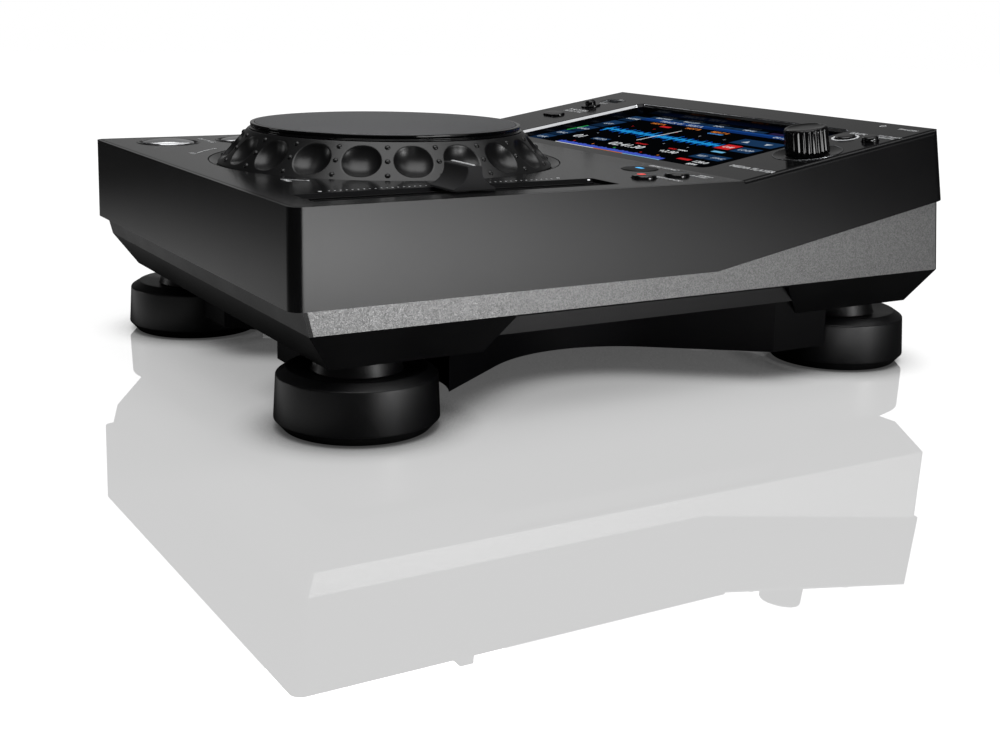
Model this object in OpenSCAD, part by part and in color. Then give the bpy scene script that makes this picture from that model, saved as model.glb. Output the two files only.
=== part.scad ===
// Tabletop media player: a wedge-shaped body on four drum feet, with a dimpled jog dial on a flat
// deck, a sloped touch screen behind it and a long tempo fader beside the dial.
// Millimetres. +Z is up, the front faces -Y, and the origin is on the floor under the centre.

/* [Top cover] */
// Width of the top cover
body_w = 233.8; // [231:0.1:245]
// Depth of the top cover
body_d = 298.4; // [296:0.1:312]
// Height of the flat deck above the floor
deck_z = 84.75; // [83:0.05:92]
// Height of the cover's front wall
cover_h = 34.8; // [32:0.1:37]
// Thickness of the moulded cover
wall = 2.8; // [2.6:0.1:3.2]
// Radius of the cover's upright corners
corner_r = 4.5; // [3:0.5:7]
// Distance of the crease between deck and slope behind the centre
crease_y = 38; // [37:0.5:40]
// Rise of the sloped panel, in degrees
slope_angle = 9.4; // [8:0.1:11]
// Distance of the lower edge's crease behind the centre
skirt_crease = 26.8; // [20:0.1:32]
// Rise of the lower edge behind its crease, in degrees
skirt_angle = 10.1; // [9:0.1:11]
// Forward lean of the rear face, from its foot to its top
rear_lean = 5.6; // [4:0.1:7]
// Rounding of the slope's upper edges
edge_r = 2; // [1:0.1:2.4]
// Distance of the deck's parting groove from the faces of the cover
rim_w = 1.6; // [1.2:0.1:2.2]
// Width of the parting groove
groove_w = 0.4; // [0.3:0.1:0.6]
// Depth of the parting groove
groove_h = 0.7; // [0.4:0.1:1]

/* [Base] */
// Set-back of the base sides from the cover sides
base_inset = 1.4; // [0.8:0.1:1.8]
// Wall thickness of the base
base_wall = 3; // [2.6:0.1:3.4]
// Set-back of the base front from the cover front
front_set = 4.2; // [3.6:0.1:5]
// Inward lean of the base front between the cover and the trim's lower edge
front_lean = 2.3; // [1:0.1:3]
// Set-back of the base rear from the cover rear
rear_set = 3.7; // [3.2:0.1:4.4]
// Outward lean of the base rear between the cover and the trim's lower edge
rear_flare = 2.7; // [1.5:0.1:3.4]
// Height of the side trims' lower edge above the floor
trim_z = 41.1; // [40:0.1:43]
// Height of the underside of the front and rear bars
bar_z = 27.3; // [26:0.1:28.4]
// Height of the ceiling between the two bars
channel_z = 33.5; // [32:0.1:35]
// Inward lean of the bars' sides
side_taper = 6.3; // [4:0.1:8]
// Inward lean of the front bar's front
front_taper = 9.8; // [7:0.1:12]
// Inward lean of the rear bar's rear
rear_taper = 11.7; // [8:0.1:12.5]
// Rear edge of the front bar, ahead of the centre
front_bar_end = 73; // [68:0.5:78]
// Front edge of the rear bar, behind the centre
rear_bar_end = 75; // [70:0.5:80]
// Slant of the bars' inner ends
bar_slant = 10; // [6:0.5:14]
// Depth of the side recess between the bars
recess_d = 3.5; // [2.5:0.1:4]
// Height of the lip that enters the cover
lip_h = 3; // [2:0.1:4]
// Thickness of a side trim
trim_t = 1.4; // [1:0.1:1.8]
// Width of the base corner left bare beside a trim
trim_margin = 1.7; // [1:0.1:3]

/* [Bottom pan] */
// Height of the pan's underside above the floor
pan_z = 12; // [10:0.5:15]
// Wall thickness of the pan
pan_wall = 2.4; // [1.8:0.1:3]
// Half width of the pan at its waist
waist_x = 66.5; // [60:0.5:72]
// Place of the waist along the depth
waist_y = -14; // [-20:0.5:-8]
// Radius of the waist
waist_r = 60; // [50:1:70]
// Flare of the pan's sides behind and ahead of the waist, in degrees
flare = 36; // [32:1:40]
// Half length of the pan
pan_l = 120; // [116:1:122]

/* [Feet] */
// Distance of the feet's centres from the cover's sides
foot_x = 29.1; // [28.5:0.1:32.9]
// Distance of the front feet from the cover's front
foot_front = 36.7; // [35.2:0.1:41.2]
// Distance of the rear feet from the cover's rear
foot_rear = 32.5; // [31.2:0.1:37.2]
// Largest radius of a foot
foot_r = 29.9; // [27:0.1:30.5]
// Draw-in of a foot's radius up to its shoulder
foot_draft = 0.8; // [0.2:0.1:1.5]
// Height of the rubber sole
sole_h = 3.7; // [3:0.1:4.5]
// Inward slope of the rubber sole
sole_taper = 3.5; // [2:0.1:5]
// Height of a foot's shoulder above the floor
shoulder_z = 19.7; // [18:0.1:20.5]
// Height of a foot's top above the floor
foot_top_z = 22.2; // [21.5:0.1:23]
// Width of the sloped shoulder ring
shoulder_w = 3.8; // [3:0.1:5]
// Radius of the collar between foot and base
collar_r = 16.6; // [14:0.1:18]
// Radius of a foot screw's shank
foot_screw_r = 2.5; // [2:0.1:3]

/* [Jog dial] */
// Distance of the dial's axis ahead of the centre
jog_front = 59; // [58:0.1:60]
// Radius of the dished plate round the dial
surround_r = 73.2; // [72:0.1:74]
// Width of the slope round the dish
dish_w = 3.7; // [3:0.1:4]
// Radius of the dial at its lower edge
jog_r = 68.2; // [66:0.1:69]
// Radius of the dial at its upper edge
jog_top_r = 58.9; // [58.6:0.1:60]
// Height of the dial's upper edge above the deck
jog_h = 13; // [12:0.1:14]
// Depth of the dial's lower edge below the deck
jog_sink = 1.1; // [0.8:0.1:1.2]
// Gap between the dial and the dished plate
jog_gap = 0.6; // [0.4:0.1:0.7]
// Thickness of the dial's moulded wall
jog_wall = 3; // [2.6:0.1:3.4]
// Number of finger dimples
dimples = 20; // [16:1:20]
// Radius of the sphere that shapes a dimple
dimple_r = 10; // [9.6:0.1:11]
// Depth of a dimple
dimple_depth = 3; // [2.4:0.1:3.2]
// Added length of a dimple round the dial
dimple_stretch = 2.5; // [1:0.1:2.8]
// Number of raised dots between two dimples
dots = 3; // [1:1:4]
// Distance between raised dots
dot_pitch = 6.1; // [5.4:0.1:6.3]
// Radius of a raised dot
dot_r = 1.3; // [1:0.05:1.4]
// Radius of the glossy ring on the dial
gloss_r = 58.4; // [57:0.1:59]
// Radius of the metal top plate
plate_r = 56; // [54:0.1:56.4]
// Thickness of the metal top plate
plate_t = 1.1; // [0.8:0.1:1.4]
// Height of the top plate's face above the deck
plate_z = 15.4; // [15.2:0.1:15.8]
// Downward travel of the top plate
plate_travel = 0.3; // [0.2:0.05:0.4]
// Radius of the dial's shaft
shaft_r = 5; // [4:0.1:6]
// Radial running clearance of shafts
run_gap = 0.05; // [0.02:0.01:0.09]
// Outer radius of the dial's bearing
bearing_r = 9; // [8:0.1:10]
// Length of the dial's bearing
bearing_h = 12; // [10:0.5:13]
// Radius of the slotted encoder wheel
wheel_r = 24; // [22:0.5:26]
// Number of slots in the encoder wheel
wheel_slots = 30; // [20:1:36]

/* [Tempo fader] */
// Distance of the fader's centre line from the cover's right side
fader_x = 20; // [19.4:0.1:21.9]
// Front end of the fader's well, ahead of the centre
fader_front = 137.7; // [136:0.1:138.5]
// Length of the fader's well
fader_l = 124.2; // [118:0.1:126]
// Width of the fader's well
fader_w = 18.8; // [17:0.1:20]
// Depth of the well's floor
fader_h = 1.3; // [1:0.1:1.6]
// Width of the lever's slot
lever_slot = 3; // [2.4:0.1:3.6]
// Travel of the fader either way
fader_travel = 50; // [45:1:51]
// Length of the cap's foot along the travel
cap_foot = 17; // [15:0.1:18]
// Length of the cap's ridge along the travel
cap_ridge = 6; // [5:0.1:8]
// Height of the cap's ridge above the deck
cap_h = 9.3; // [8:0.1:11]
// Gap between the cap and the deck
cap_gap = 0.4; // [0.3:0.1:0.8]

/* [Deck buttons] */
// Distance of the play and cue buttons from the cover's left side
transport_x = 24.9; // [23:0.1:25.9]
// Distance of the play button ahead of the centre
play_front = 123; // [121:0.1:125]
// Distance of the cue button ahead of the centre
cue_front = 86.5; // [85:0.1:88]
// Radius of the play and cue buttons
transport_r = 11.4; // [10.5:0.1:12]
// Radius of the bezels round the play and cue buttons
transport_bezel_r = 13.8; // [13.2:0.1:14]
// Travel of the play and cue buttons
transport_travel = 0.8; // [0.6:0.1:0.8]
// Travel of the small buttons
key_travel = 0.5; // [0.3:0.1:0.6]
// Width of a rectangular key
key_w = 14; // [12:0.1:15]
// Depth of a rectangular key
key_d = 7.5; // [6:0.1:8]
// Height of the keys above the deck
key_h = 1; // [0.6:0.1:1.4]
// Distance of the search and track keys from the cover's left side
key_x = 24.9; // [23.9:0.1:25.9]
// Distance between two keys in a row
key_pitch = 18.5; // [18:0.1:19]
// Distance of the search keys ahead of the centre
search_front = 22; // [20:0.5:24]
// Distance of the track keys behind the centre
track_y = 2; // [0:0.5:4]
// Distance of the loop keys behind the centre
loop_y = 26.5; // [26:0.5:27.5]
// Distance of the two round tempo buttons from the cover's right side
tempo_x = 22.9; // [20.9:0.1:24.9]
// Distance of the master tempo button behind the centre
tempo_lock_y = 6.5; // [5:0.5:8]
// Distance of the tempo range button behind the centre
tempo_range_y = 22.5; // [21:0.5:24]
// Radius of the round tempo buttons
round_r = 5; // [4.4:0.1:5.2]
// Height of the round buttons above their panel
round_h = 2.2; // [1.6:0.1:2.6]
// Distance of the sync button right of the middle
sync_x = 69.5; // [67:0.5:71]
// Distance of the sync button behind the centre
sync_y = 22; // [20:0.5:24]
// Radius of the sync button
sync_r = 7.5; // [7:0.1:8]
// Distance of the jog mode button left of the middle
mode_x = 36; // [34:0.5:37]
// Distance of the jog mode button behind the centre
mode_y = 25; // [24:0.5:26]

/* [Screen] */
// Width of the screen opening
screen_w = 157; // [150:0.5:158]
// Length of the screen opening along the slope
screen_l = 81.5; // [78:0.5:82]
// Distance of the screen's centre right of the middle
screen_x = 5.5; // [4:0.5:6]
// Distance of the screen's front edge up the slope from the crease
screen_s = 6.2; // [5.8:0.1:7]
// Corner radius of the screen opening
screen_r = 4; // [2:0.5:5]
// Depth of the glass at the front edge
glass_front = 3.4; // [3.3:0.1:3.8]
// Depth of the glass at the rear edge
glass_rear = 6; // [5.4:0.1:6.4]
// Thickness of the touch glass
glass_t = 1.1; // [0.8:0.1:1.4]
// Thickness of the display module
module_t = 4.5; // [4:0.1:5]
// Depth of the ledge round the glass
ledge_h = 1.7; // [1.2:0.1:2]
// Width of the ledge round the glass
ledge_w = 1; // [0.6:0.1:1.2]

/* [Slope controls] */
// Distance of the browse knob from the cover's right side
browse_x = 16.4; // [15.9:0.1:17.4]
// Distance of the browse knob up the slope from the crease
browse_s = 46.9; // [45:0.1:49]
// Radius of the browse knob
browse_r = 9.2; // [8.6:0.1:9.4]
// Height of the browse knob above its panel
browse_h = 10.8; // [10:0.1:14]
// Number of grip flutes round the browse knob
flutes = 24; // [18:1:30]
// Radius of the dished ring round the browse knob
browse_ring_r = 14.4; // [13:0.1:14.6]
// Downward travel of the browse knob
browse_travel = 0.5; // [0.3:0.1:0.5]
// Radius of the browse shaft
browse_shaft_r = 3; // [2.5:0.1:3.2]
// Distance of the back button from the cover's right side
back_x = 23.9; // [23.4:0.1:24.3]
// Distance of the back and tag buttons up the slope from the crease
back_s = 75; // [73:0.5:77]
// Radius of the back button
back_r = 4.4; // [4:0.1:4.6]
// Distance of the tag button from the cover's right side
tag_x = 9.1; // [8.9:0.1:9.9]
// Radius of the tag button
tag_r = 3.6; // [3:0.1:3.8]
// Distance of the left column of controls from the cover's left side
left_x = 21.9; // [19.9:0.1:22.9]
// Distance of the time mode button up the slope from the crease
time_s = 47; // [45:0.5:49]
// Distance of the eject button up the slope from the crease
eject_s = 70.5; // [69:0.5:72]
// Distance of the memory stick socket up the slope from the crease
stick_s = 85; // [84:0.5:86]

/* [Rear connectors] */
// Height of the main board's top above the floor
board_z = 43.6; // [43:0.1:45]
// Distance of the network socket right of the middle
network_x = 8; // [4:0.5:12]
// Distance of the computer socket right of the middle
computer_x = 30; // [26:0.5:36]
// Distance of the first audio jack right of the middle
audio_x = 76; // [74:0.5:78]
// Distance between the two audio jacks
audio_pitch = 14; // [12:0.2:14]
// Distance of the mains inlet from the cover's left side
inlet_x = 32.9; // [28.9:0.5:36.9]
// Distance of the power button left of the middle
power_x = 36; // [34:0.5:38]
// Travel of the power button
power_travel = 2; // [1.5:0.1:2]

/* [Hidden] */
$fn = 96;
small_fn = 48;
cut = 1;
fit = 0.15;
seat = 0.1;
cover_low = deck_z - cover_h;
half_w = body_w / 2;
half_d = body_d / 2;
foot_at = half_w - foot_x;
fader_at = half_w - fader_x;
transport_at = half_w - transport_x;
key_at = half_w - key_x;
tempo_at = half_w - tempo_x;
browse_at = half_w - browse_x;
back_at = half_w - back_x;
tag_at = half_w - tag_x;
left_at = half_w - left_x;
inlet_at = half_w - inlet_x;
rear_top = half_d - rear_lean;
slope_rise = tan(slope_angle);
skirt_rise = tan(skirt_angle);
slope_end = (rear_top - crease_y) / cos(slope_angle);
rear_low_z = cover_low + (half_d - skirt_crease) * skirt_rise;
rear_top_z = deck_z + (rear_top - crease_y) * slope_rise;
slope_wall = wall / cos(slope_angle);
lean_angle = atan(rear_lean / (rear_top_z - rear_low_z));
plan_reach = 10;
lean_reach = 1.2 * body_d;
cavity_crease = crease_y + (slope_wall - wall) / slope_rise;

base_w = half_w - base_inset;
base_front = -half_d + front_set;
base_front_trim = base_front + front_lean;
base_front_low = base_front_trim + front_taper;
base_rear = half_d - rear_set;
base_rear_trim = base_rear + rear_flare;
base_rear_low = base_rear_trim - rear_taper;
trim_rear_margin = 0.6;
bar_slope = bar_slant / (trim_z - bar_z);
strip_x = base_w - recess_d;
strip_z = trim_z - 0.6;
floor_z = bar_z + base_wall;

case_screw_x = 50;
case_screw_front = 24.2 - half_d;
case_screw_rear = half_d - 17.2;
case_join_z = cover_low + 6;
case_boss_r = 4;
case_hole_r = 1.3;
case_head_r = 2.8;
case_head_h = 2;
foot_head_r = 5;
foot_head_h = 3;
foot_head_z = 10;
end_waist = 90;
end_waist_r = 17;
end_flare = 14;
foot_bite = 3;
pan_rib_h = 10;

foot_places = [
    [-foot_at, foot_front - half_d], [foot_at, foot_front - half_d], [-foot_at, half_d - foot_rear],
    [foot_at, half_d - foot_rear]
];
case_places = [
    [-case_screw_x, case_screw_front], [case_screw_x, case_screw_front],
    [-case_screw_x, case_screw_rear], [case_screw_x, case_screw_rear]
];

surround_t = 1.4;
jog_seat = 2.1;
ledge_r = surround_r - 2.6;
bracket_r = surround_r + 1.5;
bracket_t = 2.8;
bracket_boss_r = bearing_r + 4;
hub_r = 16;
dimple_phase = 1.65;
dial_low = -jog_sink;
bearing_top = -wall - 2.2;
bearing_low = bearing_top - bearing_h;
wheel_hub_h = 4;
wheel_t = 0.8;
wheel_z = bearing_low - seat - wheel_hub_h;
web_z = jog_h - jog_wall + 0.4;
jog_lean = atan((jog_r - jog_top_r) / (jog_h - dial_low));
jog_mid_r = (jog_r + jog_top_r) / 2;
jog_mid_z = (jog_h + dial_low) / 2;
jog_wall_r = jog_wall / cos(jog_lean);
switch_ring_h = plate_z - plate_t - plate_travel - 0.05 - jog_h;
gloss_top = plate_z - 0.4;
plate_gap = 0.3;

switch_h = 4.8;
switch_w = 6;
board_t = 1.6;
deck_drop = 12;
panel_drop = 16;
flange_w = 1;
flange_t = 1;
button_gap = 0.3;
stem_r = 1.6;
key_r = 1;
oval_r = 3.6;
bezel_t = 1.5;
transport_h = 1.2;
dome_r = 90;
sync_h = 0.5;
nub_r = 2.8;
nub_base = 0.8;
nub_h = 3.5;
board_front = -8;
board_boss_r = 3;

fader_mid = -fader_front + fader_l / 2;
fader_body_h = 10.5;
blade_t = 1.2;
blade_l = 5;
cap_w = fader_w - 0.6;
ridge_h = 1.3;
cap_lip = 0.8;
flank_w = (cap_foot - cap_ridge) / 2;
flank_h = cap_h - ridge_h - cap_gap - cap_lip;
flank_r = (flank_w * flank_w + flank_h * flank_h) / (2 * flank_w);

glass_tilt = atan((glass_rear - glass_front) / screen_l);
glass_l = screen_l / cos(glass_tilt);
glass_margin = 1.5;
lug_x = 28;
lug_w = 8;
lug_l = 7;
lug_t = 1.2;
lug_boss_r = 3;

stick_w = 14.4;
stick_d = 7;
stick_wall = 0.8;
encoder_w = 14;
encoder_top = 7;
plunger_top = -11;
plunger_t = 2;
browse_low = -0.1;
browse_hole_r = browse_shaft_r + 3.5;

socket_face = half_d - 3.2;
network_w = 16;
network_h = 13.5;
computer_w = 12;
computer_h = 11;
audio_r = 5.1;
audio_z = 56;
audio_back = half_d - 13.2;
niche_back = audio_back + 3;
niche_gap = 3.4;
niche_wall = 2.4;
inlet_w = 28;
inlet_h = 20;
lock_x = -14;
power_r = 4.5;
power_z = 56;
power_flange_t = 1.5;
power_back = half_d - 21.2;
main_x = [0, half_w - 12.9];
main_y = [half_d - 59.2, half_d - 7.2];
supply_w = main_x[1] - 30;
board_edge = half_w - 9.9;
board_places = [
    [-board_edge, -104.5], [-board_edge, -50], [-board_edge, 14], [-50, 26], [20, 26],
    [board_edge - 25, 8]
];
panel_edge = half_w - 7.4;
panel_places = [[-panel_edge, 60], [28.5 - panel_edge, 60], [panel_edge - 19.5, 62], [panel_edge, 62]];
panel_switches = [[back_at, back_s], [tag_at, back_s], [-left_at, time_s], [-left_at, eject_s]];
main_places = [for (x = [8 - main_x[1], -38, 8, main_x[1] - 8], y = [main_y[0] + 6, main_y[1] - 16]) [x, y]];

key_left = -key_at - key_pitch / 2;
key_right = -key_at + key_pitch / 2;
// Round openings in the deck: x, y and the radius of the piece that passes through
deck_rounds = [
    [sync_x, sync_y, sync_r], [tempo_at, tempo_lock_y, round_r], [tempo_at, tempo_range_y, round_r],
    [-mode_x, mode_y, round_r]
];
// Rectangular keys in the deck: x and y
deck_keys = [
    [key_left, -search_front], [key_right, -search_front], [key_left, track_y], [key_right, track_y],
    [key_left, loop_y], [key_right, loop_y], [key_right + key_pitch, loop_y]
];

NODES = [
    "cover", "base_tray", "bottom_pan", "trim_left", "trim_right",
    "foot_front_left", "foot_front_right", "foot_rear_left", "foot_rear_right",
    "foot_soles", "foot_screws", "case_screws",
    "jog_surround", "jog_bracket", "jog_bearing", "jog_dial", "jog_gloss_ring", "jog_touch_switch",
    "jog_top_plate", "jog_shaft", "encoder_wheel", "encoder_sensor",
    "fader_trim", "fader_body", "fader_lever", "fader_cap",
    "transport_bezels", "play_button", "cue_button", "search_back_key", "search_forward_key",
    "track_back_key", "track_forward_key", "loop_in_key", "loop_out_key", "loop_exit_key",
    "jog_mode_button", "sync_button", "tempo_lock_button", "tempo_range_button",
    "control_board", "screen_bezel", "touch_glass", "display_module", "panel_board",
    "browse_ring", "browse_knob", "browse_shaft", "browse_plunger", "browse_encoder",
    "back_button", "tag_button", "time_mode_button", "eject_button", "stick_socket",
    "main_board", "rear_sockets", "mains_inlet", "power_button", "power_supply"
];
node = "all";

function slope_z(y) = deck_z + (y - crease_y) * slope_rise;
function skirt_z(y) = cover_low + max(0, y - skirt_crease) * skirt_rise;
function rear_face_y(z) = half_d - rear_lean * (z - rear_low_z) / (rear_top_z - rear_low_z);
function base_rear_y(z) = base_rear_trim - rear_flare * (z - trim_z) / (skirt_z(base_rear) - trim_z);

// Carries points given as [y, z] along X, centred on the middle plane
module side_prism(points, width) {
    rotate([90, 0, 90])
        linear_extrude(width, center = true)
            polygon(points);
}

// Carries points given as [x, z] along Y, centred on the middle plane
module front_prism(points, length) {
    rotate([90, 0, 0])
        linear_extrude(length, center = true)
            polygon(points);
}

module rounded_rectangle(w, l, r) {
    square([w - 2 * r, l], center = true);
    square([w, l - 2 * r], center = true);
    for (x = [-1, 1], y = [-1, 1])
        translate([x * (w / 2 - r), y * (l / 2 - r)])
            circle(r, $fn = small_fn);
}

module rounded_block(w, l, h, r) {
    linear_extrude(h)
        rounded_rectangle(w, l, r);
}

module ring(outer, inner, h) {
    difference() {
        cylinder(r = outer, h = h);
        translate([0, 0, -cut])
            cylinder(r = inner, h = h + 2 * cut);
    }
}

module on_deck(x, y) {
    translate([x, y, deck_z])
        children();
}

module on_slope(x, s) {
    translate([0, crease_y, deck_z])
        rotate([slope_angle, 0, 0])
            translate([x, s, 0])
                children();
}

// The glass lies a little flatter than the slope: its own frame starts at its front edge
module on_glass(x, l) {
    on_slope(screen_x, screen_s)
        translate([0, 0, -glass_front])
            rotate([-glass_tilt, 0, 0])
                translate([x, l, 0])
                    children();
}

// ---- Cover ----

// The cover's outline drawn in by a distance: upright at the front, leaning with the rear face behind
module cover_plan(inset, r) {
    w = body_w - 2 * inset;
    intersection() {
        translate([0, plan_reach / 2, 0])
            linear_extrude(rear_top_z + cut)
                rounded_rectangle(w, body_d - 2 * inset + plan_reach, r);
        translate([0, half_d, rear_low_z])
            rotate([lean_angle, 0, 0])
                translate([0, -inset - lean_reach / 2, -body_w])
                    linear_extrude(2 * body_w)
                        rounded_rectangle(w, lean_reach, r);
    }
}

module cover_solid() {
    reach = half_d + plan_reach;
    intersection() {
        side_prism([
            [-reach, cover_low], [skirt_crease, cover_low], [reach, skirt_z(reach)],
            [reach, slope_z(reach)], [crease_y, deck_z], [-reach, deck_z]
        ], body_w + 2 * cut);
        cover_plan(0, corner_r);
    }
}

module cover_cavity() {
    reach = half_d + plan_reach;
    intersection() {
        side_prism([
            [-reach, cover_low - cut], [reach, cover_low - cut], [reach, slope_z(reach) - slope_wall],
            [cavity_crease, deck_z - wall], [-reach, deck_z - wall]
        ], body_w);
        cover_plan(wall, corner_r - wall + 1);
    }
}

// What rounding off an edge of radius edge_r takes away, along +Y from the origin
module edge_waste(length) {
    translate([-edge_r, 0, -edge_r])
        rotate([90, 0, 0])
            linear_extrude(length)
                difference() {
                    square(edge_r + cut);
                    circle(edge_r, $fn = small_fn);
                }
}

module slope_edges() {
    for (side = [0, 1])
        mirror([side, 0, 0])
            on_slope(half_w, slope_end + cut)
                edge_waste(slope_end + cut);
    on_slope(-half_w - cut, slope_end)
        rotate([0, 0, 90])
            edge_waste(body_w + 2 * cut);
}

// Fine groove round the deck, which turns out through the edge at the crease
module deck_groove() {
    turn_y = crease_y - rim_w - groove_w;
    translate([0, 0, deck_z - groove_h]) {
        intersection() {
            linear_extrude(groove_h + cut)
                difference() {
                    rounded_rectangle(body_w - 2 * rim_w, body_d - 2 * rim_w, corner_r - rim_w);
                    rounded_rectangle(body_w - 2 * (rim_w + groove_w), body_d - 2 * (rim_w + groove_w),
                        corner_r - rim_w - groove_w);
                }
            translate([-half_w, -half_d, 0])
                cube([body_w, half_d + turn_y, groove_h + cut]);
        }
        for (side = [0, 1])
            mirror([side, 0, 0])
                intersection() {
                    translate([half_w, turn_y, 0])
                        ring(rim_w + groove_w, rim_w, groove_h + cut);
                    translate([0, turn_y, 0])
                        cube([half_w + cut, rim_w + groove_w + cut, groove_h + cut]);
                }
    }
}

module key_opening(r) {
    translate([0, 0, -wall - cut])
        rounded_block(key_w + 2 * button_gap, key_d + 2 * button_gap, wall + 2 * cut, r + button_gap);
}

module round_opening(r) {
    translate([0, 0, -wall - cut])
        cylinder(r = r + button_gap, h = wall + 2 * cut);
}

module deck_openings() {
    on_deck(0, -jog_front) {
        translate([0, 0, -jog_seat])
            cylinder(r = surround_r + fit, h = jog_seat + cut);
        translate([0, 0, -wall - cut])
            cylinder(r = ledge_r, h = wall + cut);
    }
    for (y = [-play_front, -cue_front])
        on_deck(-transport_at, y)
            round_opening(transport_bezel_r + fit - button_gap);
    for (place = deck_rounds)
        on_deck(place[0], place[1])
            round_opening(place[2]);
    for (place = deck_keys)
        on_deck(place[0], place[1])
            key_opening(key_r);
    on_deck(fader_at, fader_mid) {
        translate([0, 0, -surround_t])
            rounded_block(fader_w + 2 * fit, fader_l + 2 * fit, surround_t + cut, 1);
        translate([0, 0, -wall - cut])
            rounded_block(fader_w - 2, fader_l - 2, wall + cut, 1);
    }
}

module slope_openings() {
    on_slope(screen_x, screen_s + screen_l / 2)
        translate([0, 0, -wall - cut])
            rounded_block(screen_w, screen_l, wall + 2 * cut, screen_r);
    on_slope(browse_at, browse_s) {
        translate([0, 0, -surround_t])
            cylinder(r = browse_ring_r + fit, h = surround_t + cut);
        round_opening(browse_hole_r);
    }
    on_slope(back_at, back_s)
        round_opening(back_r);
    on_slope(tag_at, back_s)
        round_opening(tag_r);
    on_slope(-left_at, time_s)
        key_opening(oval_r);
    on_slope(-left_at, eject_s)
        round_opening(round_r);
    on_slope(-left_at, stick_s)
        translate([0, 0, -wall - cut])
            rounded_block(stick_w + 2 * fit, stick_d + 2 * fit, wall + 2 * cut, 0.5);
}

module cover_bosses() {
    for (place = case_places)
        translate([place[0], place[1], case_join_z])
            difference() {
                cylinder(r = case_boss_r, h = rear_top_z - case_join_z, $fn = small_fn);
                translate([0, 0, -cut])
                    cylinder(r = case_hole_r, h = 14 + cut, $fn = small_fn);
            }
    for (place = board_places)
        on_deck(place[0], place[1])
            translate([0, 0, -deck_drop])
                cylinder(r = board_boss_r, h = deck_drop, $fn = small_fn);
    for (place = panel_places)
        on_slope(place[0], place[1])
            translate([0, 0, -panel_drop])
                cylinder(r = board_boss_r, h = panel_drop, $fn = small_fn);
    for (x = [-lug_x, lug_x], l = [-lug_l / 2 - glass_margin, glass_l + glass_margin + lug_l / 2])
        on_glass(x, l)
            translate([0, 0, -glass_t - lug_t])
                cylinder(r = lug_boss_r, h = glass_rear, $fn = small_fn);
}

module cover() {
    color("#202022")
        difference() {
            union() {
                difference() {
                    cover_solid();
                    cover_cavity();
                }
                intersection() {
                    cover_bosses();
                    translate([0, 0, -wall / 2])
                        cover_solid();
                }
            }
            slope_edges();
            deck_groove();
            deck_openings();
            slope_openings();
        }
}

// ---- Base ----

base_outline = [
    [base_front, cover_low], [skirt_crease, cover_low], [base_rear, skirt_z(base_rear)],
    [base_rear_trim, trim_z], [base_rear_low, bar_z], [base_front_low, bar_z], [base_front_trim, trim_z]
];

// Side outline of a trim: it follows the base and stops short of its corners
trim_outline = [
    [base_front + trim_margin, cover_low], [skirt_crease, cover_low],
    [base_rear - trim_rear_margin, skirt_z(base_rear - trim_rear_margin)],
    [base_rear_trim - trim_rear_margin, trim_z], [base_front_trim + trim_margin, trim_z]
];

module base_solid() {
    top = rear_low_z + cut;
    intersection() {
        side_prism(base_outline, 2 * base_w);
        front_prism([
            [-base_w, top], [base_w, top], [base_w, trim_z], [base_w - side_taper, bar_z],
            [side_taper - base_w, bar_z], [-base_w, trim_z]
        ], body_d);
    }
}

module base_cavity() {
    slant = 1.3 * base_wall;
    top = rear_low_z + 2 * cut;
    difference() {
        intersection() {
            side_prism([
                [base_front + base_wall, top], [base_rear - base_wall, top],
                [base_rear_trim - base_wall, trim_z], [base_rear_low - slant, floor_z],
                [base_front_low + slant, floor_z], [base_front_trim + base_wall, trim_z]
            ], 2 * base_w);
            front_prism([
                [-base_w + base_wall, top], [base_w - base_wall, top], [base_w - base_wall, trim_z],
                [base_w - side_taper - slant, floor_z], [side_taper + slant - base_w, floor_z],
                [-base_w + base_wall, trim_z]
            ], body_d);
        }
        channel_cut(base_wall);
    }
}

// The hollow between the two bars, grown by the wall for the inner floor
module channel_cut(grow) {
    top = strip_z + grow;
    low = bar_z - cut;
    rise = strip_z - low;
    intersection() {
        side_prism([
            [-front_bar_end - grow - cut * bar_slope, low], [rear_bar_end + grow + cut * bar_slope, low],
            [rear_bar_end + grow - rise * bar_slope, top], [-front_bar_end - grow + rise * bar_slope, top]
        ], body_w);
        union() {
            translate([-half_w, -half_d, low])
                cube([body_w, body_d, channel_z + grow - low]);
            for (side = [-1, 1])
                translate([side * (strip_x - grow + half_w / 2), 0, (low + top) / 2])
                    cube([half_w, body_d, top - low], center = true);
        }
    }
}

module base_lip() {
    lip_front = -half_d + wall + fit;
    lip_rear = rear_face_y(rear_low_z) - wall - fit;
    lip_w = 2 * (half_w - wall - fit);
    difference() {
        intersection() {
            side_prism([
                [lip_front, cover_low], [skirt_crease, cover_low], [lip_rear, skirt_z(lip_rear)],
                [lip_rear - 1, skirt_z(lip_rear) + lip_h], [skirt_crease, cover_low + lip_h],
                [lip_front, cover_low + lip_h]
            ], lip_w);
            linear_extrude(rear_top_z)
                rounded_rectangle(lip_w, 2 * (half_d - wall - fit), corner_r - wall + 1);
        }
        translate([-base_w + base_wall, base_front + base_wall, 0])
            cube([2 * (base_w - base_wall), base_rear - base_front - 2 * base_wall, rear_top_z]);
    }
}

module base_bosses() {
    for (place = case_places)
        translate([place[0], place[1], bar_z])
            cylinder(r = case_boss_r, h = case_join_z - bar_z, $fn = small_fn);
    for (place = main_places)
        translate([place[0], place[1], floor_z - cut])
            cylinder(r = board_boss_r, h = board_z - board_t - floor_z + cut, $fn = small_fn);
}

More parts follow.
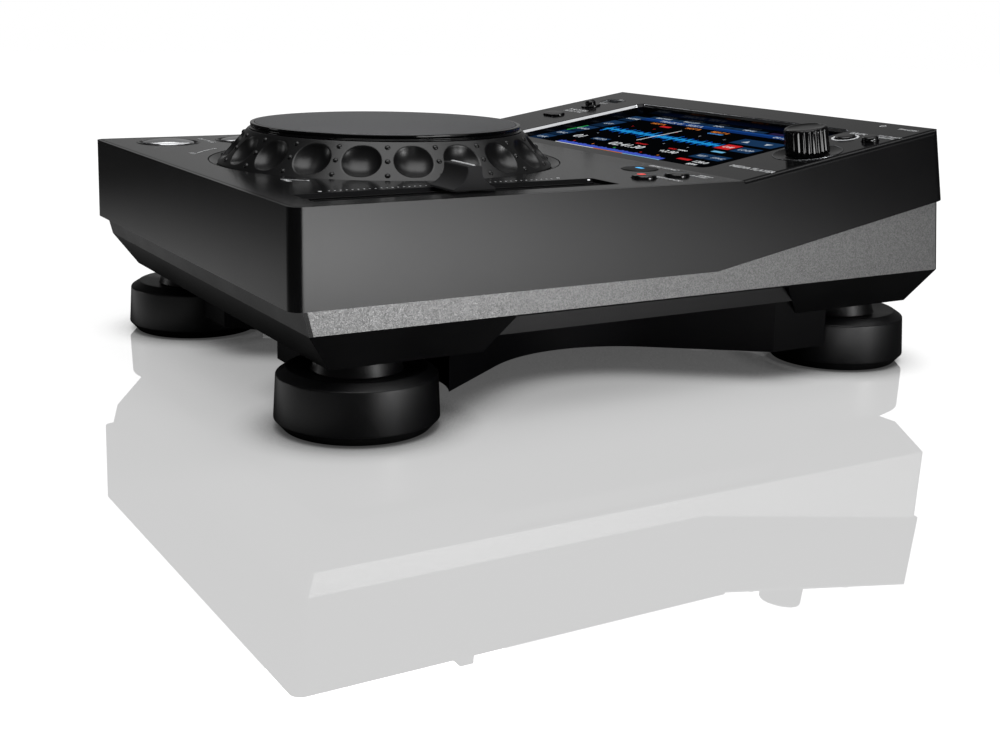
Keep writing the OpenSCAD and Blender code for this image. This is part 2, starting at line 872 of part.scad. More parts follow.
// Walls of the niche that holds the audio jacks
module audio_niche(grow, front) {
    w = audio_pitch + 2 * (audio_r + niche_gap + grow);
    h = 2 * (audio_r + niche_gap + grow);
    translate([audio_x + (audio_pitch - w) / 2, front, audio_z - h / 2])
        cube([w, base_rear_y(audio_z + h / 2) - front - niche_wall + (grow > 0 ? 0 : 20), h]);
}

module rear_cutouts() {
    translate([network_x, half_d - 20, board_z + network_h / 2])
        cube([network_w + 2 * fit, 60, network_h + 2 * fit], center = true);
    translate([computer_x, half_d - 20, board_z + computer_h / 2])
        cube([computer_w + 2 * fit, 60, computer_h + 2 * fit], center = true);
    audio_niche(0, niche_back);
    for (jack = [0, 1])
        translate([audio_x + jack * audio_pitch, half_d - 20, audio_z])
            rotate([-90, 0, 0])
                cylinder(r = audio_r + fit, h = 20, $fn = small_fn);
    translate([-inlet_at, half_d - 20, board_z + inlet_h / 2])
        cube([inlet_w + 2 * fit, 60, inlet_h + 2 * fit], center = true);
    translate([-power_x, half_d - 20, power_z])
        rotate([-90, 0, 0])
            cylinder(r = power_r + button_gap, h = 30, $fn = small_fn);
    translate([lock_x, half_d - 8, power_z])
        rotate([90, 0, 0])
            rounded_slot(7, 3, 30);
}

module rounded_slot(length, width, depth) {
    linear_extrude(depth, center = true) {
        square([length - width, width], center = true);
        for (side = [-1, 1])
            translate([side * (length - width) / 2, 0])
                circle(width / 2, $fn = small_fn);
    }
}

module base_tray() {
    color("#161617")
        difference() {
            union() {
                difference() {
                    base_solid();
                    base_cavity();
                    channel_cut(0);
                    for (side = [-1, 1])
                        translate([side * (base_w - trim_t / 2 + cut / 2), 0, 0])
                            side_prism(trim_outline, trim_t + cut);
                }
                base_lip();
                intersection() {
                    base_bosses();
                    union() {
                        base_solid();
                        translate([0, 0, cover_low - cut])
                            linear_extrude(20)
                                square([2 * base_w, base_rear - base_front], center = true);
                    }
                }
                audio_niche(niche_wall, audio_back);
            }
            rear_cutouts();
            for (place = case_places) {
                translate([place[0], place[1], bar_z - cut])
                    cylinder(r = case_hole_r + 0.3, h = case_join_z, $fn = small_fn);
                translate([place[0], place[1], bar_z - cut])
                    cylinder(r = case_head_r + fit, h = case_head_h + cut, $fn = small_fn);
            }
            for (place = foot_places)
                translate([place[0], place[1], bar_z - cut])
                    cylinder(r = foot_screw_r, h = base_wall + 2 * cut, $fn = small_fn);
        }
}

module side_trim(side) {
    color("#8b8b8c")
        translate([side * (base_w - trim_t / 2), 0, 0])
            side_prism(trim_outline, trim_t);
}

module trim_left() {
    side_trim(-1);
}

module trim_right() {
    side_trim(1);
}

// Plan of the pan: a slab with a flared bite in every side and round bites for the feet
module pan_plan(grow) {
    centre = waist_x + waist_r;
    touch_x = centre - waist_r * cos(flare);
    touch_y = waist_r * sin(flare);
    reach = (half_w - touch_x) / tan(flare);
    difference() {
        square([2 * (base_w - side_taper - fit - grow), 2 * (pan_l - grow)], center = true);
        for (side = [-1, 1]) {
            translate([side * centre, waist_y])
                circle(waist_r + grow);
            polygon([
                [side * (touch_x - grow), waist_y - touch_y], [side * (touch_x - grow), waist_y + touch_y],
                [side * (touch_x - grow + reach * tan(flare)), waist_y + touch_y + reach],
                [side * (touch_x - grow + reach * tan(flare)), waist_y - touch_y - reach]
            ]);
            translate([0, side * (end_waist + end_waist_r)])
                circle(end_waist_r + grow, $fn = small_fn);
            polygon([
                [-end_waist_r - grow, side * (end_waist + end_waist_r)],
                [end_waist_r + grow, side * (end_waist + end_waist_r)],
                [end_waist_r + grow + end_flare, side * (pan_l + cut)],
                [-end_waist_r - grow - end_flare, side * (pan_l + cut)]
            ]);
        }
        for (place = foot_places)
            translate(place)
                circle(foot_r + foot_bite + grow);
    }
}

// Between the bars the pan rises to the ceiling of the channel
module pan_solid() {
    rise = channel_z - bar_z;
    translate([0, 0, pan_z])
        linear_extrude(bar_z - pan_z)
            pan_plan(0);
    intersection() {
        translate([0, 0, pan_z])
            linear_extrude(channel_z - pan_z)
                pan_plan(0);
        side_prism([
            [-front_bar_end + fit, pan_z], [rear_bar_end - fit, pan_z], [rear_bar_end - fit, bar_z],
            [rear_bar_end - fit - rise * bar_slope, channel_z],
            [-front_bar_end + fit + rise * bar_slope, channel_z], [-front_bar_end + fit, bar_z]
        ], body_w);
    }
}

module bottom_pan() {
    color("#121213")
        difference() {
            pan_solid();
            difference() {
                translate([0, 0, pan_z + pan_wall])
                    linear_extrude(bar_z)
                        pan_plan(pan_wall);
                for (y = [-60, 0, 60])
                    translate([0, y, pan_z])
                        cube([body_w, pan_wall, 2 * pan_rib_h], center = true);
                for (x = [-30, 30])
                    translate([x, 0, pan_z])
                        cube([pan_wall, body_d, 2 * pan_rib_h], center = true);
            }
        }
}

// ---- Feet ----

module foot(place) {
    inner = foot_r - foot_draft - shoulder_w;
    color("#1a1a1b")
        translate([place[0], place[1], 0])
            rotate_extrude()
                polygon([
                    [foot_head_r + 0.5, sole_h], [foot_r, sole_h], [foot_r - foot_draft, shoulder_z],
                    [inner, foot_top_z], [inner - 1.5, foot_top_z], [inner - 3, foot_top_z - 1.2],
                    [collar_r, foot_top_z - 1.2], [collar_r, foot_top_z + 0.4], [collar_r - 1.6, bar_z],
                    [foot_screw_r, bar_z], [foot_screw_r, foot_head_z], [foot_head_r + 0.5, foot_head_z]
                ]);
}

module foot_front_left() {
    foot(foot_places[0]);
}

module foot_front_right() {
    foot(foot_places[1]);
}

module foot_rear_left() {
    foot(foot_places[2]);
}

module foot_rear_right() {
    foot(foot_places[3]);
}

module foot_soles() {
    color("#0e0e0e")
        for (place = foot_places)
            translate(place)
                rotate_extrude()
                    polygon([
                        [foot_head_r + 2, 0], [foot_r - sole_taper, 0], [foot_r - 0.2, sole_h],
                        [foot_head_r + 2, sole_h]
                    ]);
}

module foot_screws() {
    color("#9a9a9a")
        for (place = foot_places)
            translate([place[0], place[1], foot_head_z]) {
                cylinder(r = foot_screw_r, h = bar_z + base_wall - foot_head_z, $fn = small_fn);
                translate([0, 0, -foot_head_h])
                    difference() {
                        cylinder(r = foot_head_r, h = foot_head_h, $fn = small_fn);
                        translate([0, 0, -cut])
                            cylinder(r = 2.3, h = 2 + cut, $fn = 6);
                    }
            }
}

module case_screws() {
    color("#9a9a9a")
        for (place = case_places)
            translate([place[0], place[1], bar_z]) {
                cylinder(r = case_head_r, h = case_head_h, $fn = small_fn);
                cylinder(r = case_hole_r, h = case_join_z + 8 - bar_z, $fn = small_fn);
            }
}

// ---- Jog dial ----

module jog_surround() {
    floor_z = dial_low - jog_gap;
    color("#222224")
        on_deck(0, -jog_front)
            rotate_extrude()
                polygon([
                    [bracket_boss_r + 1, floor_z], [surround_r - dish_w, floor_z], [surround_r, 0],
                    [surround_r, -jog_seat], [ledge_r - fit, -jog_seat], [ledge_r - fit, -wall],
                    [bracket_boss_r + 1, -wall]
                ]);
}

module jog_bracket() {
    color("#77797c")
        on_deck(0, -jog_front)
            difference() {
                union() {
                    translate([0, 0, -wall - bracket_t])
                        cylinder(r = bracket_r, h = bracket_t);
                    translate([0, 0, bearing_low])
                        cylinder(r = bracket_boss_r, h = -wall - bearing_low);
                    for (arm = [0:5])
                        rotate([0, 0, 60 * arm])
                            translate([bracket_boss_r - 1, -1.25, -wall - bracket_t - 4])
                                cube([bracket_r - bracket_boss_r - 6, 2.5, 4 + cut]);
                }
                translate([0, 0, bearing_low - cut])
                    cylinder(r = bearing_r, h = bearing_h + wall + 3 * cut);
                for (arm = [0:5])
                    rotate([0, 0, 60 * arm + 30])
                        translate([(bracket_boss_r + bracket_r) / 2, 0, -wall - bracket_t - cut])
                            cylinder(r = 13, h = bracket_t + 2 * cut);
            }
}

module jog_bearing() {
    color("#b08d57")
        on_deck(0, -jog_front)
            translate([0, 0, bearing_low])
                ring(bearing_r, shaft_r + run_gap, bearing_h);
}

module jog_shaft() {
    color("#a8abae")
        on_deck(0, -jog_front) {
            translate([0, 0, wheel_z])
                cylinder(r = shaft_r, h = web_z - wheel_z);
            translate([0, 0, bearing_top + seat])
                cylinder(r = shaft_r + 2, h = 1.5);
        }
}

// Turns to a place on the dial's cone, with +X along the outward normal of its face
module on_dial_face(angle) {
    rotate([0, 0, angle])
        translate([jog_mid_r, 0, jog_mid_z])
            rotate([0, -jog_lean, 0])
                children();
}

// The shape pressed into the dial: two balls side by side
module dimple(angle) {
    on_dial_face(angle)
        for (side = [-1, 1])
            translate([dimple_r - dimple_depth, side * dimple_stretch / 2, 0])
                sphere(dimple_r);
}

module dial_hollow() {
    low_r = jog_r - jog_wall_r;
    top_r = jog_r - jog_wall_r - (web_z - dial_low) * tan(jog_lean);
    difference() {
        rotate_extrude()
            polygon([
                [hub_r, dial_low - cut], [low_r + cut * tan(jog_lean), dial_low - cut], [top_r, web_z],
                [hub_r, web_z]
            ]);
        for (i = [0:dimples - 1])
            on_dial_face(dimple_phase + i * 360 / dimples)
                translate([dimple_r - dimple_depth, 0, 0])
                    sphere(dimple_r + jog_wall - 0.6);
    }
}

module jog_dial() {
    color("#1b1b1c")
        on_deck(0, -jog_front)
            difference() {
                union() {
                    rotate_extrude()
                        polygon([
                            [shaft_r, dial_low], [jog_r, dial_low], [jog_top_r, jog_h],
                            [shaft_r, jog_h]
                        ]);
                    for (i = [0:dimples - 1], k = [0:dots - 1])
                        on_dial_face(dimple_phase + (i + 0.5) * 360 / dimples)
                            translate([-dot_r / 2, 0, (k - (dots - 1) / 2) * dot_pitch])
                                sphere(dot_r, $fn = 24);
                }
                dial_hollow();
                for (i = [0:dimples - 1])
                    dimple(dimple_phase + i * 360 / dimples);
            }
}

module jog_gloss_ring() {
    inner = plate_r + plate_gap;
    color("#0b0b0c")
        on_deck(0, -jog_front)
            rotate_extrude()
                polygon([
                    [inner - 1.6, jog_h], [gloss_r, jog_h], [gloss_r, gloss_top - 0.5],
                    [gloss_r - 0.5, gloss_top], [inner, gloss_top], [inner, jog_h + 0.8],
                    [inner - 1.6, jog_h + 0.8]
                ]);
}

module jog_touch_switch() {
    color("#c9b26a")
        on_deck(0, -jog_front)
            translate([0, 0, jog_h])
                ring(plate_r - 4, 20, switch_ring_h);
}

module jog_top_plate() {
    color("#5a5b5d")
        on_deck(0, -jog_front)
            translate([0, 0, plate_z - plate_t])
                rotate_extrude()
                    polygon([
                        [0, 0], [plate_r, 0], [plate_r, plate_t - 0.25], [plate_r - 0.25, plate_t],
                        [0, plate_t]
                    ]);
}

module encoder_wheel() {
    color("#39393b")
        on_deck(0, -jog_front)
            translate([0, 0, wheel_z])
                difference() {
                    union() {
                        cylinder(r = wheel_r, h = wheel_t);
                        cylinder(r = shaft_r + 3, h = wheel_hub_h);
                    }
                    translate([0, 0, -cut])
                        cylinder(r = shaft_r, h = wheel_hub_h + 2 * cut);
                    for (i = [0:wheel_slots - 1])
                        rotate([0, 0, i * 360 / wheel_slots])
                            translate([wheel_r - 4.5, -0.6, -cut])
                                cube([3.5, 1.2, wheel_t + 2 * cut]);
                }
}

module encoder_sensor() {
    top = -wall - bracket_t;
    low = wheel_z - 3;
    color("#101010")
        on_deck(0, -jog_front)
            rotate([0, 0, -90])
                difference() {
                    translate([wheel_r - 6, -5, low])
                        cube([14, 10, top - low]);
                    translate([wheel_r - 6 - cut, -5 - cut, wheel_z - 0.8])
                        cube([7.2 + cut, 10 + 2 * cut, wheel_t + 1.6]);
                    translate([wheel_r - 6 - cut, -5 - cut, wheel_z + 4])
                        cube([7.2 + cut, 10 + 2 * cut, top - wheel_z]);
                }
}

// ---- Tempo fader ----

module fader_trim() {
    bevel = fader_h;
    color("#0d0d0e")
        on_deck(fader_at, fader_mid)
            difference() {
                union() {
                    difference() {
                        union() {
                            translate([0, 0, -surround_t])
                                rounded_block(fader_w, fader_l, surround_t, 1 - fit);
                            translate([0, 0, -wall])
                                rounded_block(fader_w - 2 - 2 * fit, fader_l - 2 - 2 * fit, wall - cut, 1);
                        }
                        front_prism([
                            [-fader_w / 2 + 0.5, 0], [-fader_w / 2 + 0.5 + bevel, -fader_h],
                            [fader_w / 2 - 0.5 - bevel, -fader_h], [fader_w / 2 - 0.5, 0],
                            [fader_w / 2 - 0.5, cut], [-fader_w / 2 + 0.5, cut]
                        ], fader_l - 1);
                    }
                    for (side = [-1, 1])
                        translate([side * (lever_slot / 2 + 0.8) - 0.4, -fader_l / 2 + 4, -fader_h - 0.2])
                            cube([0.8, fader_l - 8, 0.8]);
                }
                translate([0, 0, -wall - cut])
                    rounded_block(lever_slot, 2 * fader_travel + blade_l + 2, wall + cut, lever_slot / 2.5);
            }
}

module fader_body() {
    length = 2 * fader_travel + blade_l + 4;
    color("#8f9294")
        on_deck(fader_at, fader_mid)
            translate([0, 0, -wall - fader_body_h])
                difference() {
                    translate([0, 0, fader_body_h / 2])
                        cube([fader_w + 1, fader_l + 2, fader_body_h], center = true);
                    translate([-6, -length / 2 - 1.5, 2])
                        cube([12, length + 3, 5.5]);
                    translate([-lever_slot / 2 - 0.2, -length / 2, 4])
                        cube([lever_slot + 0.4, length, fader_body_h]);
                }
}

module fader_lever() {
    color("#b7babd")
        on_deck(fader_at, fader_mid) {
            translate([0, 0, (cap_h - 3 - wall - fader_body_h + 4) / 2])
                cube([blade_t, blade_l, cap_h - 3 + wall + fader_body_h - 4], center = true);
            translate([-5.5, -3.5, -wall - fader_body_h + 2.3])
                cube([11, 7, 4.7]);
        }
}

module fader_cap() {
    color("#4a4a4c")
        on_deck(fader_at, fader_mid)
            difference() {
                rotate([90, 0, 90])
                    linear_extrude(cap_w, center = true)
                        difference() {
                            translate([-cap_foot / 2, cap_gap])
                                square([cap_foot, cap_h - cap_gap]);
                            for (side = [0, 1])
                                mirror([side, 0]) {
                                    translate([cap_ridge / 2 + flank_r, cap_h - ridge_h])
                                        circle(flank_r);
                                    translate([cap_ridge / 2, cap_h - ridge_h])
                                        square([cap_foot, ridge_h + cut]);
                                }
                        }
                translate([0, 0, (cap_h - 3) / 2])
                    cube([blade_t, blade_l, cap_h - 3], center = true);
            }
}

// ---- Buttons ----

// A round button from its stem's foot to its face, with a flange that stops it under the panel
module round_button(r, h, travel, drop) {
    stem_low = -drop + switch_h + travel + seat;
    rotate_extrude()
        polygon([
            [0, stem_low], [stem_r, stem_low], [stem_r, -wall - flange_t - seat],
            [r + flange_w, -wall - flange_t - seat], [r + flange_w, -wall - seat], [r, -wall - seat],
            [r, h - 0.4], [r - 0.4, h], [0, h]
        ]);
}

module key_button(r, drop) {
    stem_low = -drop + switch_h + key_travel + seat;
    translate([0, 0, -wall - seat])
        rounded_block(key_w, key_d, wall + seat + key_h, r);
    translate([0, 0, -wall - flange_t - seat])
        rounded_block(key_w + 2 * flange_w, key_d + 2 * flange_w, flange_t, r);
    translate([0, 0, stem_low])
        cylinder(r = stem_r, h = -wall - seat - stem_low, $fn = small_fn);
}

module transport_bezels() {
    color("#0a0a0b")
        for (y = [-play_front, -cue_front])
            on_deck(-transport_at, y)
                rotate_extrude()
                    polygon([
                        [transport_r + button_gap, -wall - bezel_t], [transport_bezel_r + 1, -wall - bezel_t],
                        [transport_bezel_r + 1, -wall], [transport_bezel_r, -wall], [transport_bezel_r, 0],
                        [transport_bezel_r - 0.4, 0.3], [transport_r + button_gap + 0.8, -0.3],
                        [transport_r + button_gap, -1]
                    ]);
}

// A chromed button with a gently domed face that travels inside its bezel
module transport_button(y) {
    low = -wall - bezel_t;
    stem_low = -deck_drop + switch_h + transport_travel + seat;
    color("#c9cacc")
        on_deck(-transport_at, y) {
            intersection() {
                translate([0, 0, low - seat])
                    cylinder(r = transport_r, h = transport_h - low + seat);
                translate([0, 0, transport_h - dome_r])
                    sphere(dome_r, $fn = 180);
            }
            translate([0, 0, low - seat - flange_t])
                cylinder(r = transport_r + flange_w, h = flange_t);
            translate([0, 0, stem_low])
                cylinder(r = stem_r, h = low - seat - stem_low, $fn = small_fn);
        }
}

module play_button() {
    transport_button(-play_front);
}

module cue_button() {
    transport_button(-cue_front);
}

module deck_key(place) {
    color("#2b2b2d")
        on_deck(place[0], place[1])
            key_button(key_r, deck_drop);
}

module search_back_key() {
    deck_key(deck_keys[0]);
}

module search_forward_key() {
    deck_key(deck_keys[1]);
}

module track_back_key() {
    deck_key(deck_keys[2]);
}

module track_forward_key() {
    deck_key(deck_keys[3]);
}

module loop_in_key() {
    deck_key(deck_keys[4]);
}

module loop_out_key() {
    deck_key(deck_keys[5]);
}

module loop_exit_key() {
    deck_key(deck_keys[6]);
}

module deck_round(place, h) {
    color("#2b2b2d")
        on_deck(place[0], place[1])
            round_button(place[2], h, key_travel, deck_drop);
}

module sync_button() {
    deck_round(deck_rounds[0], sync_h);
}

module tempo_lock_button() {
    deck_round(deck_rounds[1], round_h);
}

module tempo_range_button() {
    deck_round(deck_rounds[2], round_h);
}

module jog_mode_button() {
    deck_round(deck_rounds[3], round_h);
}

module push_switch() {
    translate([-switch_w / 2, -switch_w / 2, 0])
        cube([switch_w, switch_w, switch_h - 0.8]);
    cylinder(r = 1.7, h = switch_h, $fn = small_fn);
}

module control_board() {
    left = -half_w + wall + 2;
    right = half_w - wall - 2;
    color("#1d4a2f")
        on_deck(0, 0)
            translate([0, 0, -deck_drop]) {
                translate([0, 0, -board_t])
                    linear_extrude(board_t)
                        polygon([
                            [left, -half_d + wall + 3], [-bracket_r - 2, -half_d + wall + 3],
                            [-bracket_r - 2, bracket_r - jog_front + 2], [sync_x - 10, bracket_r - jog_front + 2],
                            [sync_x - 10, board_front], [right, board_front],
                            [right, crease_y - 3], [left, crease_y - 3]
                        ]);
                for (y = [-play_front, -cue_front])
                    translate([-transport_at, y, 0])
                        push_switch();
                for (place = deck_rounds)
                    translate([place[0], place[1], 0])
                        push_switch();
                for (place = deck_keys)
                    translate([place[0], place[1], 0])
                        push_switch();
            }
}

// ---- Screen ----

module screen_window(w, l, r, h) {
    translate([0, l / 2, 0])
        rounded_block(w, l, h, r);
}

module screen_bezel() {
    color("#0a0a0b")
        difference() {
            on_slope(screen_x, screen_s + screen_l / 2)
                translate([0, 0, -glass_rear - 2])
                    difference() {
                        rounded_block(screen_w - 2 * fit, screen_l - 2 * fit, glass_rear + 2 - ledge_h,
                            screen_r - fit);
                        translate([0, 0, -cut])
                            rounded_block(screen_w - 2 * ledge_w, screen_l - 2 * ledge_w,
                                glass_rear + 2 * cut + 2, screen_r - ledge_w);
                    }
            on_glass(0, -20)
                translate([-screen_w, 0, -20])
                    cube([2 * screen_w, 2 * screen_l, 20]);
        }
}

module touch_glass() {
    color("#0c1422")
        on_glass(0, -glass_margin)
            translate([0, 0, -glass_t])
                screen_window(screen_w + 2 * glass_margin, glass_l + 2 * glass_margin, screen_r, glass_t);
}

module display_module() {
    color("#8a8d90")
        on_glass(0, -glass_margin)
            translate([0, 0, -glass_t - module_t]) {
                screen_window(screen_w + 2 * glass_margin, glass_l + 2 * glass_margin, 1, module_t);
                for (x = [-lug_x, lug_x], l = [-lug_l, glass_l + 2 * glass_margin - 1])
                    translate([x - lug_w / 2, l, module_t - 2 * lug_t])
                        cube([lug_w, lug_l + 1, lug_t]);
            }
}

module panel_board() {
    color("#1d4a2f")
        difference() {
            on_slope(0, 0)
                translate([0, 0, -panel_drop]) {
                    translate([-half_w + wall + 2, 38, -board_t])
                        cube([body_w - 2 * wall - 4, stick_s + stick_d - 38, board_t]);
                    for (place = panel_switches)
                        translate([place[0], place[1], 0])
                            push_switch();
                }
            for (place = case_places)
                translate([place[0], place[1], cover_low])
                    cylinder(r = case_boss_r + 0.5, h = rear_top_z);
        }
}

// ---- Slope controls ----

module browse_ring() {
    color("#0b0b0c")
        on_slope(browse_at, browse_s)
            rotate_extrude()
                polygon([
                    [browse_hole_r, -surround_t], [browse_ring_r, -surround_t], [browse_ring_r, 0.1],
                    [browse_ring_r - 0.5, 0.1], [browse_r + 0.6, -browse_travel - 0.3],
                    [browse_hole_r, -browse_travel - 0.3]
                ]);
}

module browse_knob() {
    color("#0c0c0d")
        on_slope(browse_at, browse_s)
            difference() {
                rotate_extrude()
                    polygon([
                        [0, browse_low], [browse_r, browse_low], [browse_r - 0.25, browse_h - 0.6],
                        [browse_r - 0.85, browse_h], [browse_r - 1.8, browse_h], [0, browse_h - 0.35]
                    ]);
                for (i = [0:flutes - 1])
                    rotate([0, 0, i * 360 / flutes])
                        translate([browse_r + 0.25, 0, browse_low - cut])
                            cylinder(r = 0.8, h = browse_h - browse_low - 0.2, $fn = 24);
                translate([0, 0, browse_low - cut])
                    ring(browse_r - 2, browse_shaft_r + 1.6, browse_h - browse_low - 2 + cut);
                translate([0, 0, browse_low - cut])
                    cylinder(r = browse_shaft_r, h = browse_h - browse_low - 2 + cut);
            }
}

module browse_shaft() {
    color("#a8abae")
        on_slope(browse_at, browse_s)
            translate([0, 0, plunger_top + seat])
                cylinder(r = browse_shaft_r, h = browse_h - 2 - plunger_top - seat);
}

module browse_plunger() {
    color("#d8d8d8")
        on_slope(browse_at, browse_s)
            translate([0, 0, plunger_top - plunger_t])
                cylinder(r = browse_shaft_r + 1, h = plunger_t);
}

module browse_encoder() {
    low = -panel_drop;
    color("#4d5052")
        on_slope(browse_at, browse_s)
            difference() {
                union() {
                    translate([-encoder_w / 2, -encoder_w / 2, low])
                        cube([encoder_w, encoder_w, -encoder_top - low]);
                    translate([0, 0, -encoder_top - cut])
                        cylinder(r = browse_shaft_r + 2.5, h = encoder_top - surround_t - seat + cut);
                }
                translate([0, 0, low + 1])
                    cylinder(r = browse_shaft_r + 1 + run_gap, h = plunger_top + 0.2 - low - 1);
                translate([0, 0, low + 2])
                    cylinder(r = browse_shaft_r + run_gap, h = panel_drop);
            }
}

module back_button() {
    color("#2b2b2d")
        on_slope(back_at, back_s)
            round_button(back_r, 1.2, key_travel, panel_drop);
}

module tag_button() {
    color("#2b2b2d")
        on_slope(tag_at, back_s)
            round_button(tag_r, round_h, key_travel, panel_drop);
}

module time_mode_button() {
    color("#2b2b2d")
        on_slope(-left_at, time_s)
            key_button(oval_r, panel_drop);
}

module eject_button() {
    color("#2b2b2d")
        on_slope(-left_at, eject_s)
            union() {
                round_button(round_r, nub_base, key_travel, panel_drop);
                translate([0, 0, nub_base - cut])
                    cylinder(r = nub_r, h = nub_h - nub_base - nub_r / 2 + cut, $fn = small_fn);
                translate([0, 0, nub_h - nub_r])
                    intersection() {
                        sphere(nub_r, $fn = small_fn);
                        cylinder(r = nub_r, h = nub_r + cut, $fn = small_fn);
                    }
            }
}

module stick_socket() {
    color("#9c9fa2")
        on_slope(-left_at, stick_s)
            difference() {
                translate([-stick_w / 2, -stick_d / 2, -panel_drop])
                    cube([stick_w, stick_d, panel_drop - 0.2]);
                difference() {
                    translate([-stick_w / 2 + stick_wall, -stick_d / 2 + stick_wall, -panel_drop + 2])
                        cube([stick_w - 2 * stick_wall, stick_d - 2 * stick_wall, panel_drop]);
                    translate([-stick_w / 2 + 1.4, 0, -panel_drop])
                        cube([stick_w - 2.8, 1.8, panel_drop - 2.5]);
                }
            }
}

// ---- Inside the base and at the rear ----

// A board in the rear of the base, cut out round the case screws
module base_board(x, w) {
    difference() {
        translate([x, main_y[0], board_z - board_t])
            cube([w, main_y[1] - main_y[0], board_t]);
        for (place = case_places)
            translate([place[0], place[1], 0])
                cylinder(r = case_boss_r + 0.5, h = rear_top_z, $fn = small_fn);
    }
}

module main_board() {
    color("#1d4a2f") {
        base_board(main_x[0], main_x[1] - main_x[0]);
        translate([main_x[0] + 22, main_y[0] + 8, board_z])
            cube([24, 24, 2]);
        translate([main_x[0] + 66, main_y[0] + 8, board_z])
            cube([14, 20, 1.2]);
    }
}

module socket_shell(x, w, h, hole_w, hole_h, hole_z, depth) {
    translate([x, 0, board_z])
        difference() {
            translate([-w / 2, socket_face - depth, 0])
                cube([w, depth, h]);
            translate([-hole_w / 2, socket_face - depth + 2, hole_z])
                cube([hole_w, depth, hole_h]);
        }
}

module rear_sockets() {
    color("#a5a8ab") {
        socket_shell(network_x, network_w, network_h, 12, 8, 2.5, 18);
        socket_shell(computer_x, computer_w, computer_h, 8.4, 7.6, 1.8, 16);
        translate([computer_x - 2.8, socket_face - 15, board_z + 4])
            cube([5.6, 12, 3.2]);
        for (jack = [0, 1])
            translate([audio_x + jack * audio_pitch, 0, audio_z])
                rotate([-90, 0, 0])
                    difference() {
                        translate([0, 0, audio_back])
                            cylinder(r = audio_r, h = half_d - 0.4 - audio_back, $fn = small_fn);
                        translate([0, 0, half_d - 8.4])
                            cylinder(r = 1.7, h = 9, $fn = small_fn);
                    }
        translate([audio_x - 7, audio_back - 10, board_z])
            cube([audio_pitch + 14, 10, audio_z - board_z + 6]);
    }
}

module mains_inlet() {
    color("#1c1c1d")
        translate([-inlet_at, socket_face, board_z])
            difference() {
                translate([-inlet_w / 2, -22, 0])
                    cube([inlet_w, 22, inlet_h]);
                difference() {
                    translate([0, 0, inlet_h / 2])
                        rotate([90, 0, 0])
                            rounded_slot(16, 8.4, 28);
                    for (side = [-1, 1])
                        translate([side * 4.3, -20, inlet_h / 2])
                            rotate([-90, 0, 0])
                                cylinder(r = 1.2, h = 16, $fn = small_fn);
                }
            }
}

// The flange keeps the button behind the rear wall, and a thin stem reaches the switch
module power_button() {
    flange_front = base_rear_y(power_z + power_r + flange_w) - base_wall - seat;
    color("#2b2b2d")
        translate([-power_x, 0, power_z])
            rotate([-90, 0, 0])
                rotate_extrude()
                    polygon([
                        [0, power_back], [2, power_back], [2, flange_front - power_flange_t],
                        [power_r + flange_w, flange_front - power_flange_t], [power_r + flange_w, flange_front],
                        [power_r, flange_front], [power_r, base_rear_y(power_z) + power_travel],
                        [0, base_rear_y(power_z) + power_travel]
                    ]);
}

module power_supply() {
    color("#2f6d45") {
        base_board(-main_x[1], supply_w);
        translate([-main_x[1] + 16, main_y[0] + 4, board_z])
            cube([28, 24, 18]);
        translate([-power_x - 6, power_back - power_travel - seat - 8, board_z])
            cube([12, 8, power_z - board_z + 4]);
    }
}

function shown(name) = node == "all" || node == name;

if (shown("cover")) cover();
if (shown("base_tray")) base_tray();
if (shown("bottom_pan")) bottom_pan();
if (shown("trim_left")) trim_left();
if (shown("trim_right")) trim_right();
if (shown("foot_front_left")) foot_front_left();
if (shown("foot_front_right")) foot_front_right();
if (shown("foot_rear_left")) foot_rear_left();
if (shown("foot_rear_right")) foot_rear_right();
if (shown("foot_soles")) foot_soles();
if (shown("foot_screws")) foot_screws();
if (shown("case_screws")) case_screws();
if (shown("jog_surround")) jog_surround();
if (shown("jog_bracket")) jog_bracket();
if (shown("jog_bearing")) jog_bearing();
if (shown("jog_dial")) jog_dial();
if (shown("jog_gloss_ring")) jog_gloss_ring();
if (shown("jog_touch_switch")) jog_touch_switch();
if (shown("jog_top_plate")) jog_top_plate();
if (shown("jog_shaft")) jog_shaft();
if (shown("encoder_wheel")) encoder_wheel();
if (shown("encoder_sensor")) encoder_sensor();
if (shown("fader_trim")) fader_trim();
if (shown("fader_body")) fader_body();
if (shown("fader_lever")) fader_lever();
if (shown("fader_cap")) fader_cap();
if (shown("transport_bezels")) transport_bezels();
if (shown("play_button")) play_button();
if (shown("cue_button")) cue_button();
if (shown("search_back_key")) search_back_key();
if (shown("search_forward_key")) search_forward_key();
if (shown("track_back_key")) track_back_key();
if (shown("track_forward_key")) track_forward_key();
if (shown("loop_in_key")) loop_in_key();
if (shown("loop_out_key")) loop_out_key();
if (shown("loop_exit_key")) loop_exit_key();
if (shown("jog_mode_button")) jog_mode_button();
if (shown("sync_button")) sync_button();
if (shown("tempo_lock_button")) tempo_lock_button();
if (shown("tempo_range_button")) tempo_range_button();
if (shown("control_board")) control_board();
if (shown("screen_bezel")) screen_bezel();
if (shown("touch_glass")) touch_glass();
if (shown("display_module")) display_module();
if (shown("panel_board")) panel_board();
if (shown("browse_ring")) browse_ring();
if (shown("browse_knob")) browse_knob();
if (shown("browse_shaft")) browse_shaft();
if (shown("browse_plunger")) browse_plunger();
if (shown("browse_encoder")) browse_encoder();
if (shown("back_button")) back_button();
if (shown("tag_button")) tag_button();
if (shown("time_mode_button")) time_mode_button();
if (shown("eject_button")) eject_button();
if (shown("stick_socket")) stick_socket();
if (shown("main_board")) main_board();
if (shown("rear_sockets")) rear_sockets();
if (shown("mains_inlet")) mains_inlet();
if (shown("power_button")) power_button();
if (shown("power_supply")) power_supply();
